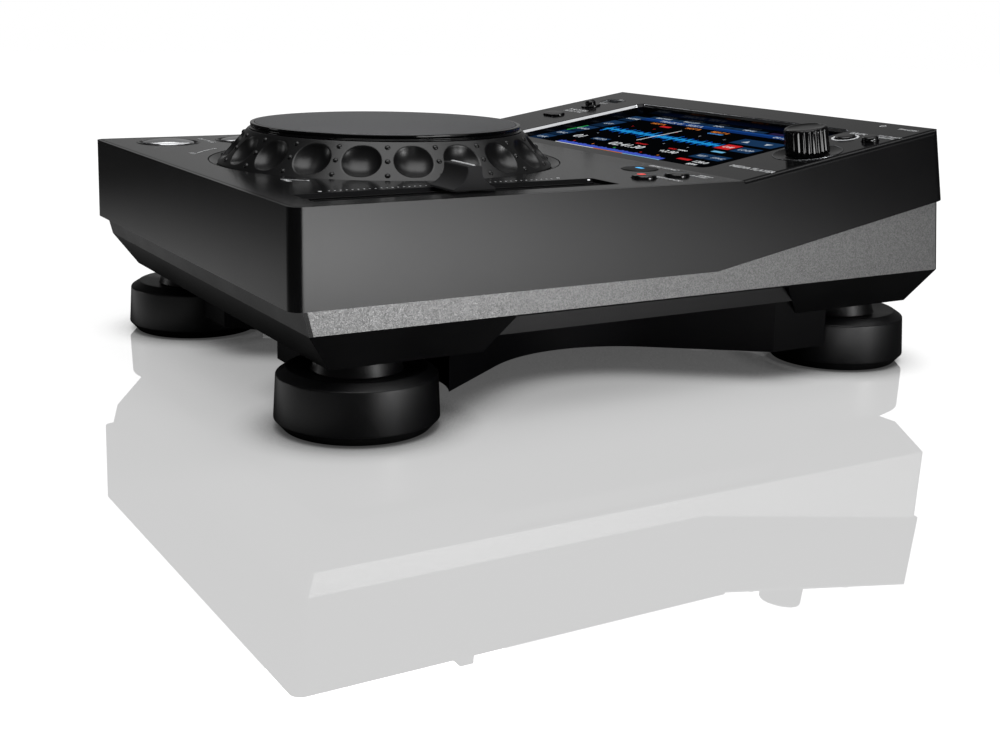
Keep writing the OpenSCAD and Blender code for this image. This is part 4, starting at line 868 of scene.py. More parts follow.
@dataclass
class Case:
    """The four feet and their soles."""

    places: tuple = (
        ("foot_front_left", -87.8, -112.5),
        ("foot_front_right", 87.8, -112.5),
        ("foot_rear_left", -87.8, 116.7),
        ("foot_rear_right", 87.8, 116.7),
    )
    foot_r: float = 29.9
    draft: float = 0.8
    shoulder_z: float = 19.7
    shoulder_w: float = 3.8
    top_z: float = 22.2
    collar_r: float = 16.6
    collar_w: float = 1.6
    bar_z: float = 27.3
    sole_h: float = 3.7
    sole_taper: float = 3.5
    bore_r: float = 7.0

    def build(self) -> None:
        """Makes the feet."""
        foot, sole, soles = self.foot(), self.sole(), []
        for name, x, y in self.places:
            home = Matrix.Translation((x, y, 0))
            to_object(name + "_drum", foot.at(home), "foot", "player", (name,))
            soles.append(sole.at(home))
        to_object("rubber_soles", Shape.joined(soles), "rubber", "player", ("foot_soles",))

    def foot(self) -> Shape:
        """A drum foot: straight flank, sloped shoulder, inner groove, collar.

        Returns:
            A closed skin.
        """
        top = self.foot_r - self.draft
        profile = [
            (0, self.sole_h),
            (self.foot_r, self.sole_h, 0.3),
            (top, self.shoulder_z, 0.5),
            (top - self.shoulder_w, self.top_z, 0.5),
            (top - self.shoulder_w - 1.6, self.top_z - 0.2, 0.3),
            (self.collar_r, self.top_z - 1.2, 0.5),
            (self.collar_r - self.collar_w, self.bar_z),
            (0, self.bar_z),
        ]
        return revolve(profile, 192)

    def sole(self) -> Shape:
        """A ring of rubber that widens towards the foot, with a rounded lower edge.

        Returns:
            A closed skin.
        """
        low_r, high_r = self.foot_r - self.sole_taper, self.foot_r - 0.2
        inner = [(self.bore_r, self.sole_h), (self.bore_r, 0)]
        return revolve([(self.bore_r, 0), (low_r, 0, 0.6), (high_r, self.sole_h, 0.2)] + inner, 192)


# ---- Jog dial ----


@dataclass
class JogDial:
    """The dial with its dimples and dots, the gloss ring, the metal plate and the dish round it."""

    low: float = -1.1
    high: float = 13.0
    low_r: float = 69.6
    high_r: float = 57.0
    bore_r: float = 54.0
    edge_r: float = 0.5
    dimples: int = 20
    phase: float = math.radians(1.65)
    ball_r: float = 9.7
    depth: float = 3.2
    stretch: float = 1.6
    soft: float = 0.3
    dot_r: float = 1.3
    dot_pitch: float = 6.5
    dish_r: float = 73.2
    dish_w: float = 3.7
    shaft_gap_r: float = 14.0
    plate_r: float = 54.3
    plate_z: float = 15.4
    gloss_r: float = 56.1
    segments: int = 384
    across: int = 72
    up: int = 56
    lean: float = field(init=False)
    mid_r: float = field(init=False)
    mid_z: float = field(init=False)

    def __post_init__(self) -> None:
        """Works out the lean and the middle of the dial's face."""
        self.lean = math.atan((self.low_r - self.high_r) / (self.high - self.low))
        self.mid_r = (self.low_r + self.high_r) / 2
        self.mid_z = (self.low + self.high) / 2

    def build(self) -> None:
        """Makes the dial's pieces."""
        home = Panel.DECK.at(0, JOG_Y)
        to_object("dimpled_dial", self.skirt().at(home), "dial", "jog", ("jog_dial",), 60)
        to_object("dial_dots", self.dots().at(home), "dial", "jog")
        to_object("dial_gloss_ring", self.ring().at(home), "gloss", "jog", ("jog_gloss_ring",), 50)
        to_object("dial_top_plate", self.plate().at(home), "plate", "jog_touch", ("jog_top_plate",))
        to_object("dial_dish", self.dish().at(home), "cover", "player", ("jog_surround",))

    def skirt(self) -> Shape:
        """The dial's outer skin with its dimples.

        The face is r(b) = mid_r - b sin(lean), z(b) = mid_z + b cos(lean). In a dimple's own frame,
        x outwards, y round the dial and v up the face, the pressed surface is
        x = (R - d) - sqrt(R^2 - (|y| - e)^2 - v^2), and the face sinks to it with a soft rim.

        Returns:
            The closed skin.
        """
        cos, sin = math.cos(self.lean), math.sin(self.lean)
        half = (self.high - self.low) / cos / 2
        columns = self.dimples * self.across
        angle = self.phase + np.linspace(0, FULL_TURN, columns, endpoint=False)
        edge = np.array([0.02, 0.1, 0.25, 0.45])
        rows = np.concatenate([-half + edge, np.linspace(-half + 0.75, half - 0.75, self.up), half - edge[::-1]])
        b, a = np.meshgrid(rows, angle, indexing="ij")
        r, z = self.mid_r - b * sin, self.mid_z + b * cos
        pitch = FULL_TURN / self.dimples
        off = (a - self.phase + pitch / 2) % pitch - pitch / 2
        # the point in its dimple's frame
        out, up = r * np.cos(off) - self.mid_r, z - self.mid_z
        x, y, v = out * cos + up * sin, r * np.sin(off), up * cos - out * sin
        side = np.maximum(np.abs(y) - self.stretch / 2, 0)
        under = self.ball_r**2 - side**2 - v**2
        deep = x - ((self.ball_r - self.depth) - np.sqrt(np.maximum(under, 0)))
        # beside the ball nothing sinks
        deep = np.where(under > 0, deep, -self.ball_r)
        share = np.clip(0.5 + 0.5 * deep / self.soft, 0, 1)
        sink = deep * share + self.soft * share * (1 - share)
        # the rounded edges at the top and the bottom
        over = np.maximum(np.abs(b) - (half - self.edge_r), 0) / self.edge_r
        inset = self.edge_r * (1 - np.sqrt(np.maximum(1 - over**2, 0)))
        # the point moves along its dimple's x axis by sink, and along its own by inset
        face = np.concatenate([r[..., None] * unit(a), z[..., None]], -1)
        for length, way in ((sink, a - off), (inset, a)):
            face -= length[..., None] * np.concatenate([cos * unit(way), np.full((*a.shape, 1), sin)], -1)
        rest = (
            (self.bore_r, self.high - 0.1), (self.bore_r, self.high - 3),
            (self.low_r - 4.2, self.low), (self.low_r - 0.6, self.low),
        )
        inner = np.array([raised(q * unit(angle), h) for q, h in rest])
        return loft(np.concatenate([face, inner]), caps=False, closed=True)

    def dots(self) -> Shape:
        """Three domes between each two dimples, each a cap of a ball of dot_r.

        Returns:
            All domes as one shape.
        """
        cap = self.dot_r / 2
        foot = math.sqrt(self.dot_r**2 - cap**2)
        top = [
            (math.sqrt(max(self.dot_r**2 - (cap + h) ** 2, 0)), h) for h in np.linspace(0.06, self.dot_r - cap, 6)
        ]
        dome = revolve([(0, -0.3), (foot, -0.3), (foot, 0, 0.12)] + top, 20, 2)
        face = Matrix.Translation((self.mid_r, 0, self.mid_z)) @ Matrix.Rotation(math.pi / 2 - self.lean, 4, "Y")
        shapes = []
        for i in range(self.dimples):
            turn = Matrix.Rotation(self.phase + (i + 0.5) * FULL_TURN / self.dimples, 4, "Z")
            for k in (1, 0, -1):
                # in the turned frame, the face runs up along -x
                shapes.append(dome.at(turn @ face @ Matrix.Translation((k * self.dot_pitch, 0, 0))))
        return Shape.joined(shapes)

    def ring(self) -> Shape:
        """The glossy ring: a rim level with the plate, a straight wall and a small flared foot.

        Returns:
            A closed skin.
        """
        inner, top, low, flare = self.plate_r + 0.15, self.plate_z - 0.05, self.high, self.gloss_r + 0.5
        profile = [
            (inner - 1.6, low), (flare, low, 0.1), (flare, low + 0.25, 0.15),
            (self.gloss_r - 0.3, low + 0.6, 0.3), (self.gloss_r, top - 0.9, 0.3), (self.gloss_r, top, 0.5),
            (inner, top, 0.2), (inner, low + 0.8), (inner - 1.6, low + 0.8), (inner - 1.6, low),
        ]
        return revolve(profile, self.segments, 6)

    def plate(self) -> Shape:
        """The metal plate with its cut edge."""
        r, z, low = self.plate_r, self.plate_z, self.plate_z - 1.1
        return revolve([(0, low), (r, low, 0.1), (r, z, 0.22), (0.6, z, 0.1), (0, z)], self.segments, 4)

    def dish(self) -> Shape:
        """The dished plate round the dial: a flat floor and a slope up to the deck.

        Returns:
            A closed skin.
        """
        floor, hole, r = self.low - 0.6, self.shaft_gap_r, self.dish_r
        profile = [
            (hole, floor), (r - self.dish_w, floor, 0.6), (r - 0.45, -0.05, 0.12), (r - 0.4, -0.7), (r, -0.75),
            (r, -2.1), (r - 2.75, -2.1), (r - 2.75, -2.8), (hole, -2.8), (hole, floor),
        ]
        return revolve(profile, self.segments, 4)


# ---- Fader ----


@dataclass
class TempoFader:
    """The fader's cap, scale and lamp."""

    x: float = 96.9
    mid_y: float = -75.6
    cap_w: float = 18.2
    foot: float = 17.0
    ridge: float = 6.0
    high: float = 9.3
    gap: float = 0.4
    lip: float = 0.8
    ridge_h: float = 1.3
    dots: int = 42
    dot_r: float = 0.36
    scale_x: float = 83.5
    first_y: float = -121.5
    last_y: float = -29.5

    def build(self) -> None:
        """Makes the fader's pieces."""
        home = Panel.DECK.at(self.x, self.mid_y)
        to_object(
            "fader_cap_moulding", self.cap().at(home), "cap", "tempo_fader", ("fader_cap",), sharp=15
        )
        line = pad(self.cap_w - 2.0, 1.1, 0.15, self.high - 0.3, self.high + 0.35, 0.15)
        to_object("fader_cap_line", line.at(home), "white", "tempo_fader")
        self.scale()

    def cap(self) -> Shape:
        """The cap: a lip, hollow flanks that follow a circle and a flat ridge, lofted along x
        with rounded ends.

        Returns:
            A closed skin.
        """
        low, half, crest, top = self.gap, self.foot / 2, self.ridge / 2, self.high
        width, height = (self.foot - self.ridge) / 2, top - self.ridge_h - low - self.lip
        radius = (width**2 + height**2) / (2 * width)
        t = np.linspace(0, math.asin(min(height / radius, 1.0)), 10)
        # flank: y from half to crest, z from the lip up, hollow outwards
        flank = np.stack([crest + radius * (1 - np.cos(t)), top - self.ridge_h - radius * np.sin(t)], -1)[::-1]
        right = [(half, low), (half, low + self.lip - 0.15), (half - 0.15, low + self.lip)]
        right += [tuple(p) for p in flank[1:]]
        right += [(crest, top - 0.5), (crest - 0.15, top - 0.12), (crest - 0.5, top)]
        loop = np.array(right + [(-y, z) for y, z in right[::-1]])
        middle = np.array([0, (top + low) / 2])
        reach = loop - middle
        rings = []
        for side, edges in ((-1, ((0, 0.45), (0.13, 0.13), (0.45, 0))), (1, ((0.45, 0), (0.13, 0.13), (0, 0.45)))):
            for back, inset in edges:
                drawn = middle + reach * np.maximum(1 - inset / np.maximum(np.abs(reach), 1e-6), 0)
                drawn[:, 1] = np.maximum(drawn[:, 1], low)
                rings.append(np.column_stack([np.full(len(loop), side * (self.cap_w / 2 - back)), drawn]))
        return loft(np.array(rings))

    def scale(self) -> None:
        """Prints the row of scale dots, its end marks and middle line, and adds the small lamp."""
        deck = Panel.DECK.at()
        loops = [disc(self.dot_r, self.scale_x, y, 10) for y in np.linspace(self.first_y, self.last_y, self.dots)]
        to_object("scale_dots", plates(loops, 0, 0.04).at(deck), "ink", "player")
        line = np.array([[82.2, -0.2], [84.8, -0.2], [84.8, 0.2], [82.2, 0.2]]) + np.array([0, self.mid_y])
        marks = [disc(0.7, 83.9, -125.1, 16), disc(0.7, 82.2, -25.7, 16), line]
        to_object("scale_marks", plates(marks, 0, 0.05).at(deck), "ink", "player")
        lamp = pad(0.9, 0.9, 0.4, -0.3, 0.1, 0.12).at(Panel.DECK.at(90.7, -17.2))
        to_object("fader_lamp", lamp, "white_lens", "player")


# ---- Deck buttons ----


@dataclass
class DeckControls:
    """Play, cue, keys and round buttons of the flat deck, with their prints and lamps."""

    button_r: float = 11.4
    dome_r: float = 42.0
    dome_h: float = 1.8
    foot: float = -2.6
    arc_r: float = 80.6
    arc_w: float = 0.44
    # name, x, y
    transport: tuple = (("play_button", -92.0, -123.0), ("cue_button", -92.0, -86.5))
    keys: tuple = (
        ("search_back_key", -101.25, -22.0), ("search_forward_key", -82.75, -22.0),
        ("track_back_key", -101.25, 2.0), ("track_forward_key", -82.75, 2.0),
        ("loop_in_key", -101.25, 26.5), ("loop_out_key", -82.75, 26.5), ("loop_exit_key", -64.25, 26.5),
    )
    # name, finish, x, y, radius, height
    buttons: tuple = (
        ("jog_mode_button", "lacquer", -36, 25, 5, 2.2), ("sync_button", "key", 69.5, 22, 7.5, 0.5),
        ("tempo_lock_button", "lacquer", 94, 6.5, 5, 1.4), ("tempo_range_button", "lacquer", 94, 22.5, 5, 1.4),
    )
    # words, x, y, height
    words: tuple = (
        ("CUE", -92.0, -69.5, 2.2), ("SEARCH", -92.0, -13.0, 1.8), ("TRACK SEARCH", -92.0, 10.8, 1.8),
        ("IN", -101.25, 33.4, 1.8), ("OUT", -82.75, 33.4, 1.8), ("EXIT", -64.25, 33.4, 1.8),
        ("JOG MODE", -36.0, 33.2, 1.8), ("0", 80.2, -75.6, 1.8), ("BEAT SYNC", 70.0, 34.0, 2.6),
        ("TEMPO", 99.6, 32.4, 2.0), ("RANGE", 99.6, 29.2, 2.0), ("KEY LOCK", 100.5, 13.6, 2.4),
        ("PLAY / PAUSE", -94.5, -104.4, 2.4), ("REV", -46, -127, 2.2), ("FWD", 51.5, -124.3, 2.2),
    )

    def build(self) -> None:
        """Makes the deck's buttons."""
        bezels = []
        for name, x, y in self.transport:
            home = Panel.DECK.at(x, y)
            bezels.append(self.bezel().at(home))
            to_object(name + "_cap", self.dome().at(home), "chrome", name, (name,))
        bezel = Shape.joined(bezels)
        to_object("transport_rings", bezel, "gloss", "player", ("transport_bezels",))
        key = Shape.joined([pad(14, 7.5, 1, -2.2, 1.0, 0.35, 0.08), box(-1.2, 1.2, -1.2, 1.2, -5.6, -2.2)])
        for name, x, y in self.keys:
            to_object(name + "_cap", key.at(Panel.DECK.at(x, y)), "key", name, (name,))
        for name, look, x, y, r, h in self.buttons:
            to_object(name + "_cap", round_cap(r, h).at(Panel.DECK.at(x, y)), look, name, (name,))
        self.prints()

    def dome(self) -> Shape:
        """The chromed button: a dome z = h - r^2 / (2 R) with a rounded edge.

        Returns:
            A closed skin.
        """
        r = self.button_r
        q = np.array([r, *np.linspace(r - 0.8, 0, 15)])
        z = self.dome_h - q * q / (2 * self.dome_r)
        return revolve([(0, self.foot), (r, self.foot), (r, z[0] - 0.1, 0.5)] + list(zip(q[1:], z[1:])), 128)

    def bezel(self) -> Shape:
        """The ring round a chromed button: a steep inner wall and a low outer slope.

        Returns:
            A closed skin.
        """
        inner, outer, foot = 11.7, 13.8, self.foot
        top = [(inner, -1, 0.15), (12.5, -0.3, 0.15), (13.4, 0.3, 0.2), (outer, 0.0, 0.1)]
        return revolve([(inner, foot)] + top + [(outer, foot), (inner, foot)], 128, 3)

    def prints(self) -> None:
        """Prints plain words and signs beside the controls and adds their lamps."""
        shapes = printed(Panel.DECK, self.words)
        # two arcs beside the dial, turned round its axis, each with an arrow head
        for side, first, last in ((-1, 132, 145), (1, 137, 142.5)):
            way = unit(np.radians(90 - side * np.linspace(first, last, 15)))
            arc = np.concatenate([(self.arc_r + self.arc_w / 2) * way, (self.arc_r - self.arc_w / 2) * way[::-1]])
            head = self.arc_r * way[0] + np.array([[-0.9, -1.2], [1.2, 0.6], [-0.6, 1.3]]) * np.array([side, 1])
            shapes.append(plates([arc[::side], head[::side]], 0, 0.06).at(Panel.DECK.at(0, JOG_Y)))
        to_object("deck_prints", Shape.joined(shapes), "ink", "player")
        blue = pad(4.6, 2.4, 0.9, -0.1, 0.12, 0.1).at(Panel.DECK.at(69.5, 22, 0.42))
        to_object("sync_lamp", blue, "cyan_lens", "sync_button")
        red = pad(2.6, 3.0, 0.5, -0.1, 0.14, 0.1).at(Panel.DECK.at(93.4, 5.6, 1.36))
        to_object("tempo_lock_lamp", red, "red_lens", "tempo_lock_button")


# ---- Slope ----


@dataclass
class SlopeControls:
    """The browse knob with its ring, the round buttons, the left column and their prints."""

    knob_x: float = 100.5
    knob_s: float = 46.9
    knob_r: float = 9.2
    knob_h: float = 10.8
    flutes: int = 24
    flute_depth: float = 0.55
    button_s: float = 75.0
    left_x: float = -95.0
    # words, x, distance up the slope, height
    words: tuple = (
        ("BACK", 92.5, 83.4, 2.6), ("TAG TRACK", 109.4, 84.6, 1.7), ("/REMOVE", 109.4, 82.0, 1.7),
        ("TIME MODE", -92, 60.6, 2.3), ("AUTO CUE", -92, 57.2, 2.3), ("EJECT", -95, 78.6, 1.8),
        ("IN", -92.5, 89, 2.2), ("MEDIA PLAYER", 103, 15.5, 2.9), ("STANDBY", 106.6, 98.2, 1.8),
    )

    def build(self) -> None:
        """Makes the slope's controls."""
        home = Panel.SLOPE.at(self.knob_x, self.knob_s)
        to_object("browse_knob_grip", self.knob().at(home), "gloss", "browse", ("browse_knob",), 50)
        to_object("browse_dish", self.ring().at(home), "cover", "player", ("browse_ring",))
        # a bright metal band stands in for the highlight on the dish's rounded edge: painted highlight
        rim = tube(14.0, 14.38, 0.02, 0.22, 192)
        to_object("browse_dish_highlight_band", rim.at(home), "rim", "player")
        for name, x, r, h in (("back_button", 93, 4.4, 1.2), ("tag_button", 107.8, 3.6, 2.2)):
            shape = round_cap(r, h).at(Panel.SLOPE.at(x, self.button_s))
            to_object(name + "_cap", shape, "lacquer", name, (name,))
        oval = pad(14, 7.5, 3.6, -2.2, 1.0, 0.4, 0.1).at(Panel.SLOPE.at(self.left_x, 47))
        to_object("time_mode_cap", oval, "gloss", "time_mode_button", ("time_mode_button",))
        flange = [(0, -2.6), (5, -2.6), (5, 0.8, 0.3)]
        nub = revolve(flange + [(2.8, 0.8, 0.3), (2.8, 2.4, 0.6), (1.9, 3.3, 0.5), (0, 3.5)], 64)
        nub = nub.at(Panel.SLOPE.at(self.left_x, 70.5))
        to_object("eject_cap", nub, "gloss", "eject_button", ("eject_button",))
        ring = tube(4.9, 5.9, -0.1, 0.14, 72, 0.08).at(Panel.SLOPE.at(93, self.button_s))
        to_object("back_button_ring", ring, "ink", "player")
        self.prints()

    def knob(self) -> Shape:
        """The fluted knob: r = R - depth |cos(n a / 2)|^5 up its side, with a chamfer and a dished top.

        Returns:
            A closed skin.
        """
        count = self.flutes * 12
        angle = np.linspace(0, FULL_TURN, count, endpoint=False)
        groove = self.flute_depth * np.abs(np.cos(angle * self.flutes / 2)) ** 5
        r, h = self.knob_r, self.knob_h
        # height, radius, share of the groove
        levels = (
            (-0.1, r, 1), (0.2, r, 1), (h - 1.6, r - 0.2, 1), (h - 1.1, r - 0.25, 0.9), (h - 0.75, r - 0.35, 0.5),
            (h - 0.5, r - 0.5, 0.2), (h - 0.25, r - 0.65, 0), (h - 0.08, r - 0.85, 0), (h, r - 1.1, 0),
            (h, r - 1.7, 0), (h - 0.08, r - 1.95, 0), (h - 0.2, r - 2.3, 0), (h - 0.35, 3.0, 0), (h - 0.35, 0.0, 0),
        )
        rings = [raised(np.zeros((count, 2)), -0.1)]
        rings += [raised((base - share * groove)[:, None] * unit(angle), z) for z, base, share in levels]
        return loft(np.array(rings), caps=False)

    def ring(self) -> Shape:
        """The dished ring: a thin rim and a shallow cone down to the knob."""
        cone = [(14.4, 0.1, 0.12), (13.9, 0.1, 0.15), (9.8, -0.8, 0.3), (6.5, -0.8)]
        return revolve([(6.5, -1.4), (14.4, -1.4)] + cone + [(6.5, -1.4)], 192, 4)

    def prints(self) -> None:
        """Prints plain words on the slope, and the standby sign: an open ring with a bar."""
        shapes = printed(Panel.SLOPE, self.words)
        ring = unit(np.radians(np.linspace(120, 420, 31)))
        loops = [np.concatenate([1.5 * ring, 1.1 * ring[::-1]]), outline(0.4, 1.6, 0.1, 2) + np.array([0, 1.0])]
        shapes.append(plates(loops, 0, 0.06).at(Panel.SLOPE.at(90.5, 99.6)))
        to_object("slope_prints", Shape.joined(shapes), "ink", "player")


# ---- Screen ----


class Lit(str, Enum):
    """The colours of the lit picture."""

    BLACK = "#020304"
    NAVY = "#1b3b60"
    SHADE = "#0f2742"
    DARK = "#1b3654"
    TITLE = "#0e3370"
    TITLE_TOP = "#18468c"
    PURPLE = "#2b2248"
    PALE = "#c9d4e0"
    WHITE = "#f2f5f8"
    RED = "#dc2a2c"
    ORANGE = "#f08a3c"
    GREEN = "#39c25a"
    DEEP = "#0c5fd4"
    BRIGHT = "#25adff"
    SKY = "#79c4ee"
    ICE = "#8fd0ff"
    SOFT = "#5aa9ff"
    BAR = "#4a62d4"


@dataclass
class Screen:
    """The touch glass with its lit picture: plain menus, a sound wave, a time and a tempo.

    A row of a table is a tile (colour, left, right, low, high, level) or words (colour, text, x, y, size).
    """

    half_w: float = 77.2
    low: float = 1.2
    high: float = 80.6
    rail_x: float = -66.0
    step: float = 1.3
    wave_mid: float = 46.5
    wave_high: float = 7.6
    bar_low: float = 11.6
    rail: tuple = (("LINK", 9.5, 20.5), ("DISC", 21.5, 32), ("CARD", 33, 46), ("LIST", 47.5, 63), ("HOME", 65, 76.5))
    tabs: tuple = (("BROWSE", -66, -45), ("TAG LIST", -44, -22), ("INFO", -21, -1), ("MENU", 0, 24))
    title: tuple = (
        (Lit.PURPLE, 27, 48, 77.2, 80.6), (Lit.TITLE, -66, 75, 71, 76.5), (Lit.TITLE_TOP, -66, 75, 74.2, 76.5, 0.04),
        (Lit.PALE, "TRACK 01   SIDE A", -34, 73.6, 3.0), (Lit.PALE, "04:12", 40, 73.6, 2.8),
        (Lit.NAVY, 27, 56, 54, 64),
    )
    boxes: tuple = (
        (Lit.RED, 31, 41, 42, 51), (Lit.WHITE, "CUE", 36, 46.5, 2.6), (Lit.NAVY, 43, 56, 41, 50),
        (Lit.PALE, "LOOP", 49.5, 45.5, 2.6), (Lit.SKY, 36.9, 44.8, 35.6, 38), (Lit.NAVY, 37, 47, 23, 31),
        (Lit.NAVY, 48, 58, 23, 31), (Lit.PALE, "KEY", 42, 27, 2.4), (Lit.PALE, "SYNC", 53, 27, 2.4),
        (Lit.RED, 36.5, 45, 16.8, 19.2),
    )
    figures: tuple = (
        (Lit.ORANGE, "HOT A", -45.3, 68, 2.6), (Lit.ORANGE, "HOT B", -17.2, 68, 2.6),
        (Lit.ORANGE, "BEAT 4", 3.5, 68, 2.8), (Lit.SOFT, "QUANTIZE", 4, 64.6, 1.6), (Lit.WHITE, "01", -54, 26.5, 6.0),
        (Lit.NAVY, -43, -31, 24.5, 29), (Lit.PALE, "AUTO", -37, 26.7, 2.4), (Lit.WHITE, "02:41.30", -11, 24, 5.4),
        (Lit.RED, "REMAIN", -7.6, 30, 1.8), (Lit.WHITE, "+3.90", 20, 25, 4.0), (Lit.RED, "WIDE", 16, 30.2, 1.6),
        (Lit.WHITE, "TEMPO", 23.5, 30.2, 1.6), (Lit.WHITE, "128.0", 52.8, 17.6, 3.2),
        (Lit.WHITE, "BPM", 52.8, 12.8, 2.4),
    )
    played: tuple = ((Lit.WHITE, -53, -20, 10.5, 11.2), (Lit.ORANGE, -20, 4, 10.5, 11.2), (Lit.ICE, 4, 32, 10.5, 11.2))
    marks: tuple = ((-46, Lit.RED), (-30, Lit.ORANGE), (-12, Lit.GREEN), (9, Lit.RED), (22, Lit.ORANGE))
    parts: list = field(default_factory=list)

    def build(self) -> None:
        """Makes the screen's lining and its picture."""
        edge = self.bevel().at(Panel.SLOPE.at(5.5, 46.95))
        to_object("screen_edge_rim", edge, "chrome", "player", sharp=30)
        self.tile(Lit.BLACK, -self.half_w, self.half_w, self.low, self.high, 0.01)
        self.menus()
        self.wave()
        self.rows(self.figures)
        shape = Shape.joined([part for part, _ in self.parts]).at(Panel.GLASS.at())
        colours = np.concatenate([np.tile(linear(colour), (len(part.points), 1)) for part, colour in self.parts])
        piece = to_object("display_picture", shape, "screen", "player", merge=False)
        layer = piece.data.color_attributes.new("picture", "FLOAT_COLOR", "POINT")
        layer.data.foreach_set("color", colours.astype(np.float32).ravel())

    def bevel(self) -> Shape:
        """A thin bright lining of the opening: its inner face leans out by a seventh of its height."""
        profile = ((0.06, -1.55), (0.42, -1.55), (0.4, -1.45), (0.16, -0.25), (0.06, -0.2))
        rings = [raised(outline(157 - 2 * inset, 81.5 - 2 * inset, 4 - inset), z) for inset, z in profile]
        return loft(np.array(rings), caps=False, closed=True)

    def tile(self, colour: Lit, x0: float, x1: float, y0: float, y1: float, level: float = 0.03) -> None:
        """Adds a lit tile between two corners."""
        self.parts.append((box(x0, x1, y0, y1, 0.0, level), colour))

    def words(self, colour: Lit, text: str, x: float, y: float, size: float) -> None:
        """Adds plain words or figures centred on a place."""
        self.parts.append((welded(lettering(text, size, 0.07)).at(Matrix.Translation((x, y, 0))), colour))

    def rows(self, table: tuple) -> None:
        """Adds every tile and all words of a table."""
        for row in table:
            (self.words if isinstance(row[1], str) else self.tile)(*row)

    def menus(self) -> None:
        """The buttons at the left, the tabs, the title bar and the boxes at the right."""
        for text, y0, y1 in self.rail:
            self.tile(Lit.NAVY, -self.half_w, self.rail_x, y0, y1)
            self.tile(Lit.SHADE, -self.half_w, self.rail_x, y0, y0 + (y1 - y0) * 0.45, 0.04)
            self.words(Lit.PALE, text, -71.4, (y0 + y1) / 2, 2.6)
        self.tile(Lit.GREEN, -self.half_w, -76.0, 33, 46, 0.05)
        for text, x0, x1 in self.tabs:
            self.tile(Lit.DARK, x0, x1, 77.2, self.high)
            self.words(Lit.PALE, text, (x0 + x1) / 2, 78.9, 2.2)
        self.rows(self.title)
        for x, turn in ((34, 1), (48, -1)):
            arrow = np.array([[x - 2.2, 59 - 1.6 * turn], [x + 2.2, 59 - 1.6 * turn], [x, 59 + 1.8 * turn]])
            self.parts.append((plates([arrow[::turn]], 0, 0.05), Lit.PALE))
        self.rows(self.boxes)

    def wave(self) -> None:
        """The sound wave and the whole track's bar. The wave's half height at step k is
        0.9 + 3 |sin 1.93k cos 0.24k|^1.5 + 3.6 |sin 2.3k|^4, times a beat that fades over 14 steps.
        """
        x = np.arange(-61, 29, self.step)
        k = np.arange(len(x))
        beat = 0.45 + 0.55 * np.exp(-(k % 14) / 5)
        high = 0.9 + 3.0 * np.abs(np.sin(1.93 * k) * np.cos(0.237 * k + 0.5)) ** 1.5
        high = (high + 3.6 * np.abs(np.sin(2.3 * k)) ** 4) * beat
        high *= self.wave_high / high.max()
        mid = self.wave_mid
        for colour, share, level in ((Lit.DEEP, 1.0, 0.03), (Lit.BRIGHT, 0.7, 0.045)):
            for left, reach in zip(x, high * share):
                self.tile(colour, left + 0.15, left + self.step - 0.45, mid - reach, mid + reach, level)
        self.tile(Lit.BRIGHT, x[0], x[-1], mid - 0.3, mid + 0.3, 0.05)
        self.tile(Lit.WHITE, -18.3, -17.6, 34.5, 61.5, 0.06)
        self.tile(Lit.RED, -38.7, -31, 63, 65.5)
        for left in x[6::14]:
            self.tile(Lit.RED if left < 0 else Lit.PALE, left, left + 0.4, 56.5, 58)
            self.tile(Lit.PALE, left, left + 0.4, 35.5, 36.6)
        bar = np.arange(-53, 32, 1.0)
        for left, reach in zip(bar, 2.6 + 1.3 * np.abs(np.sin(bar * 0.9) * np.cos(bar * 0.37))):
            self.tile(Lit.BAR, left, left + 0.94, self.bar_low, self.bar_low + reach)
        self.rows(self.played)
        for left, colour in self.marks:
            self.tile(colour, left, left + 0.9, 16.6, 17.8)
            self.tile(colour, left + 3, left + 3.7, 8.3, 9.2)


# ---- Rear ----


@dataclass
class Rear:
    """The coloured rings of the audio pair and the pins of the inlet."""

    wall_y: float = 148.8
    rings: tuple = (("audio_ring_left", 90.0, "signal_white"), ("audio_ring_right", 76.0, "signal_red"))
    ring_z: float = 56.0
    pins_x: tuple = (-88.3, -79.7)
    pins_z: float = 53.6
    pins_y: float = 146.0

    def build(self) -> None:
        """Makes the rings and the pins."""
        for name, x, look in self.rings:
            ring = tube(1.9, 4.2, -0.3, 0.22, 48).at(Panel.REAR.at(x, self.ring_z, self.wall_y))
            to_object(name, ring, look, "player")
        pin = revolve([(0, -18), (1.35, -18), (1.35, -4, 0.5), (0, -3.6)], 24, 4)
        pins = [pin.at(Panel.REAR.at(x, self.pins_z, self.pins_y)) for x in self.pins_x]
        to_object("inlet_pins", Shape.joined(pins), "chrome", "player")


# ---- Stage ----


def heading(azimuth: float, elevation: float) -> Vector:
    """Returns the way that points azimuth degrees from +X towards +Y and elevation degrees up."""
    a, e = math.radians(azimuth), math.radians(elevation)
    return Vector((math.cos(a) * math.cos(e), math.sin(a) * math.cos(e), math.sin(e)))


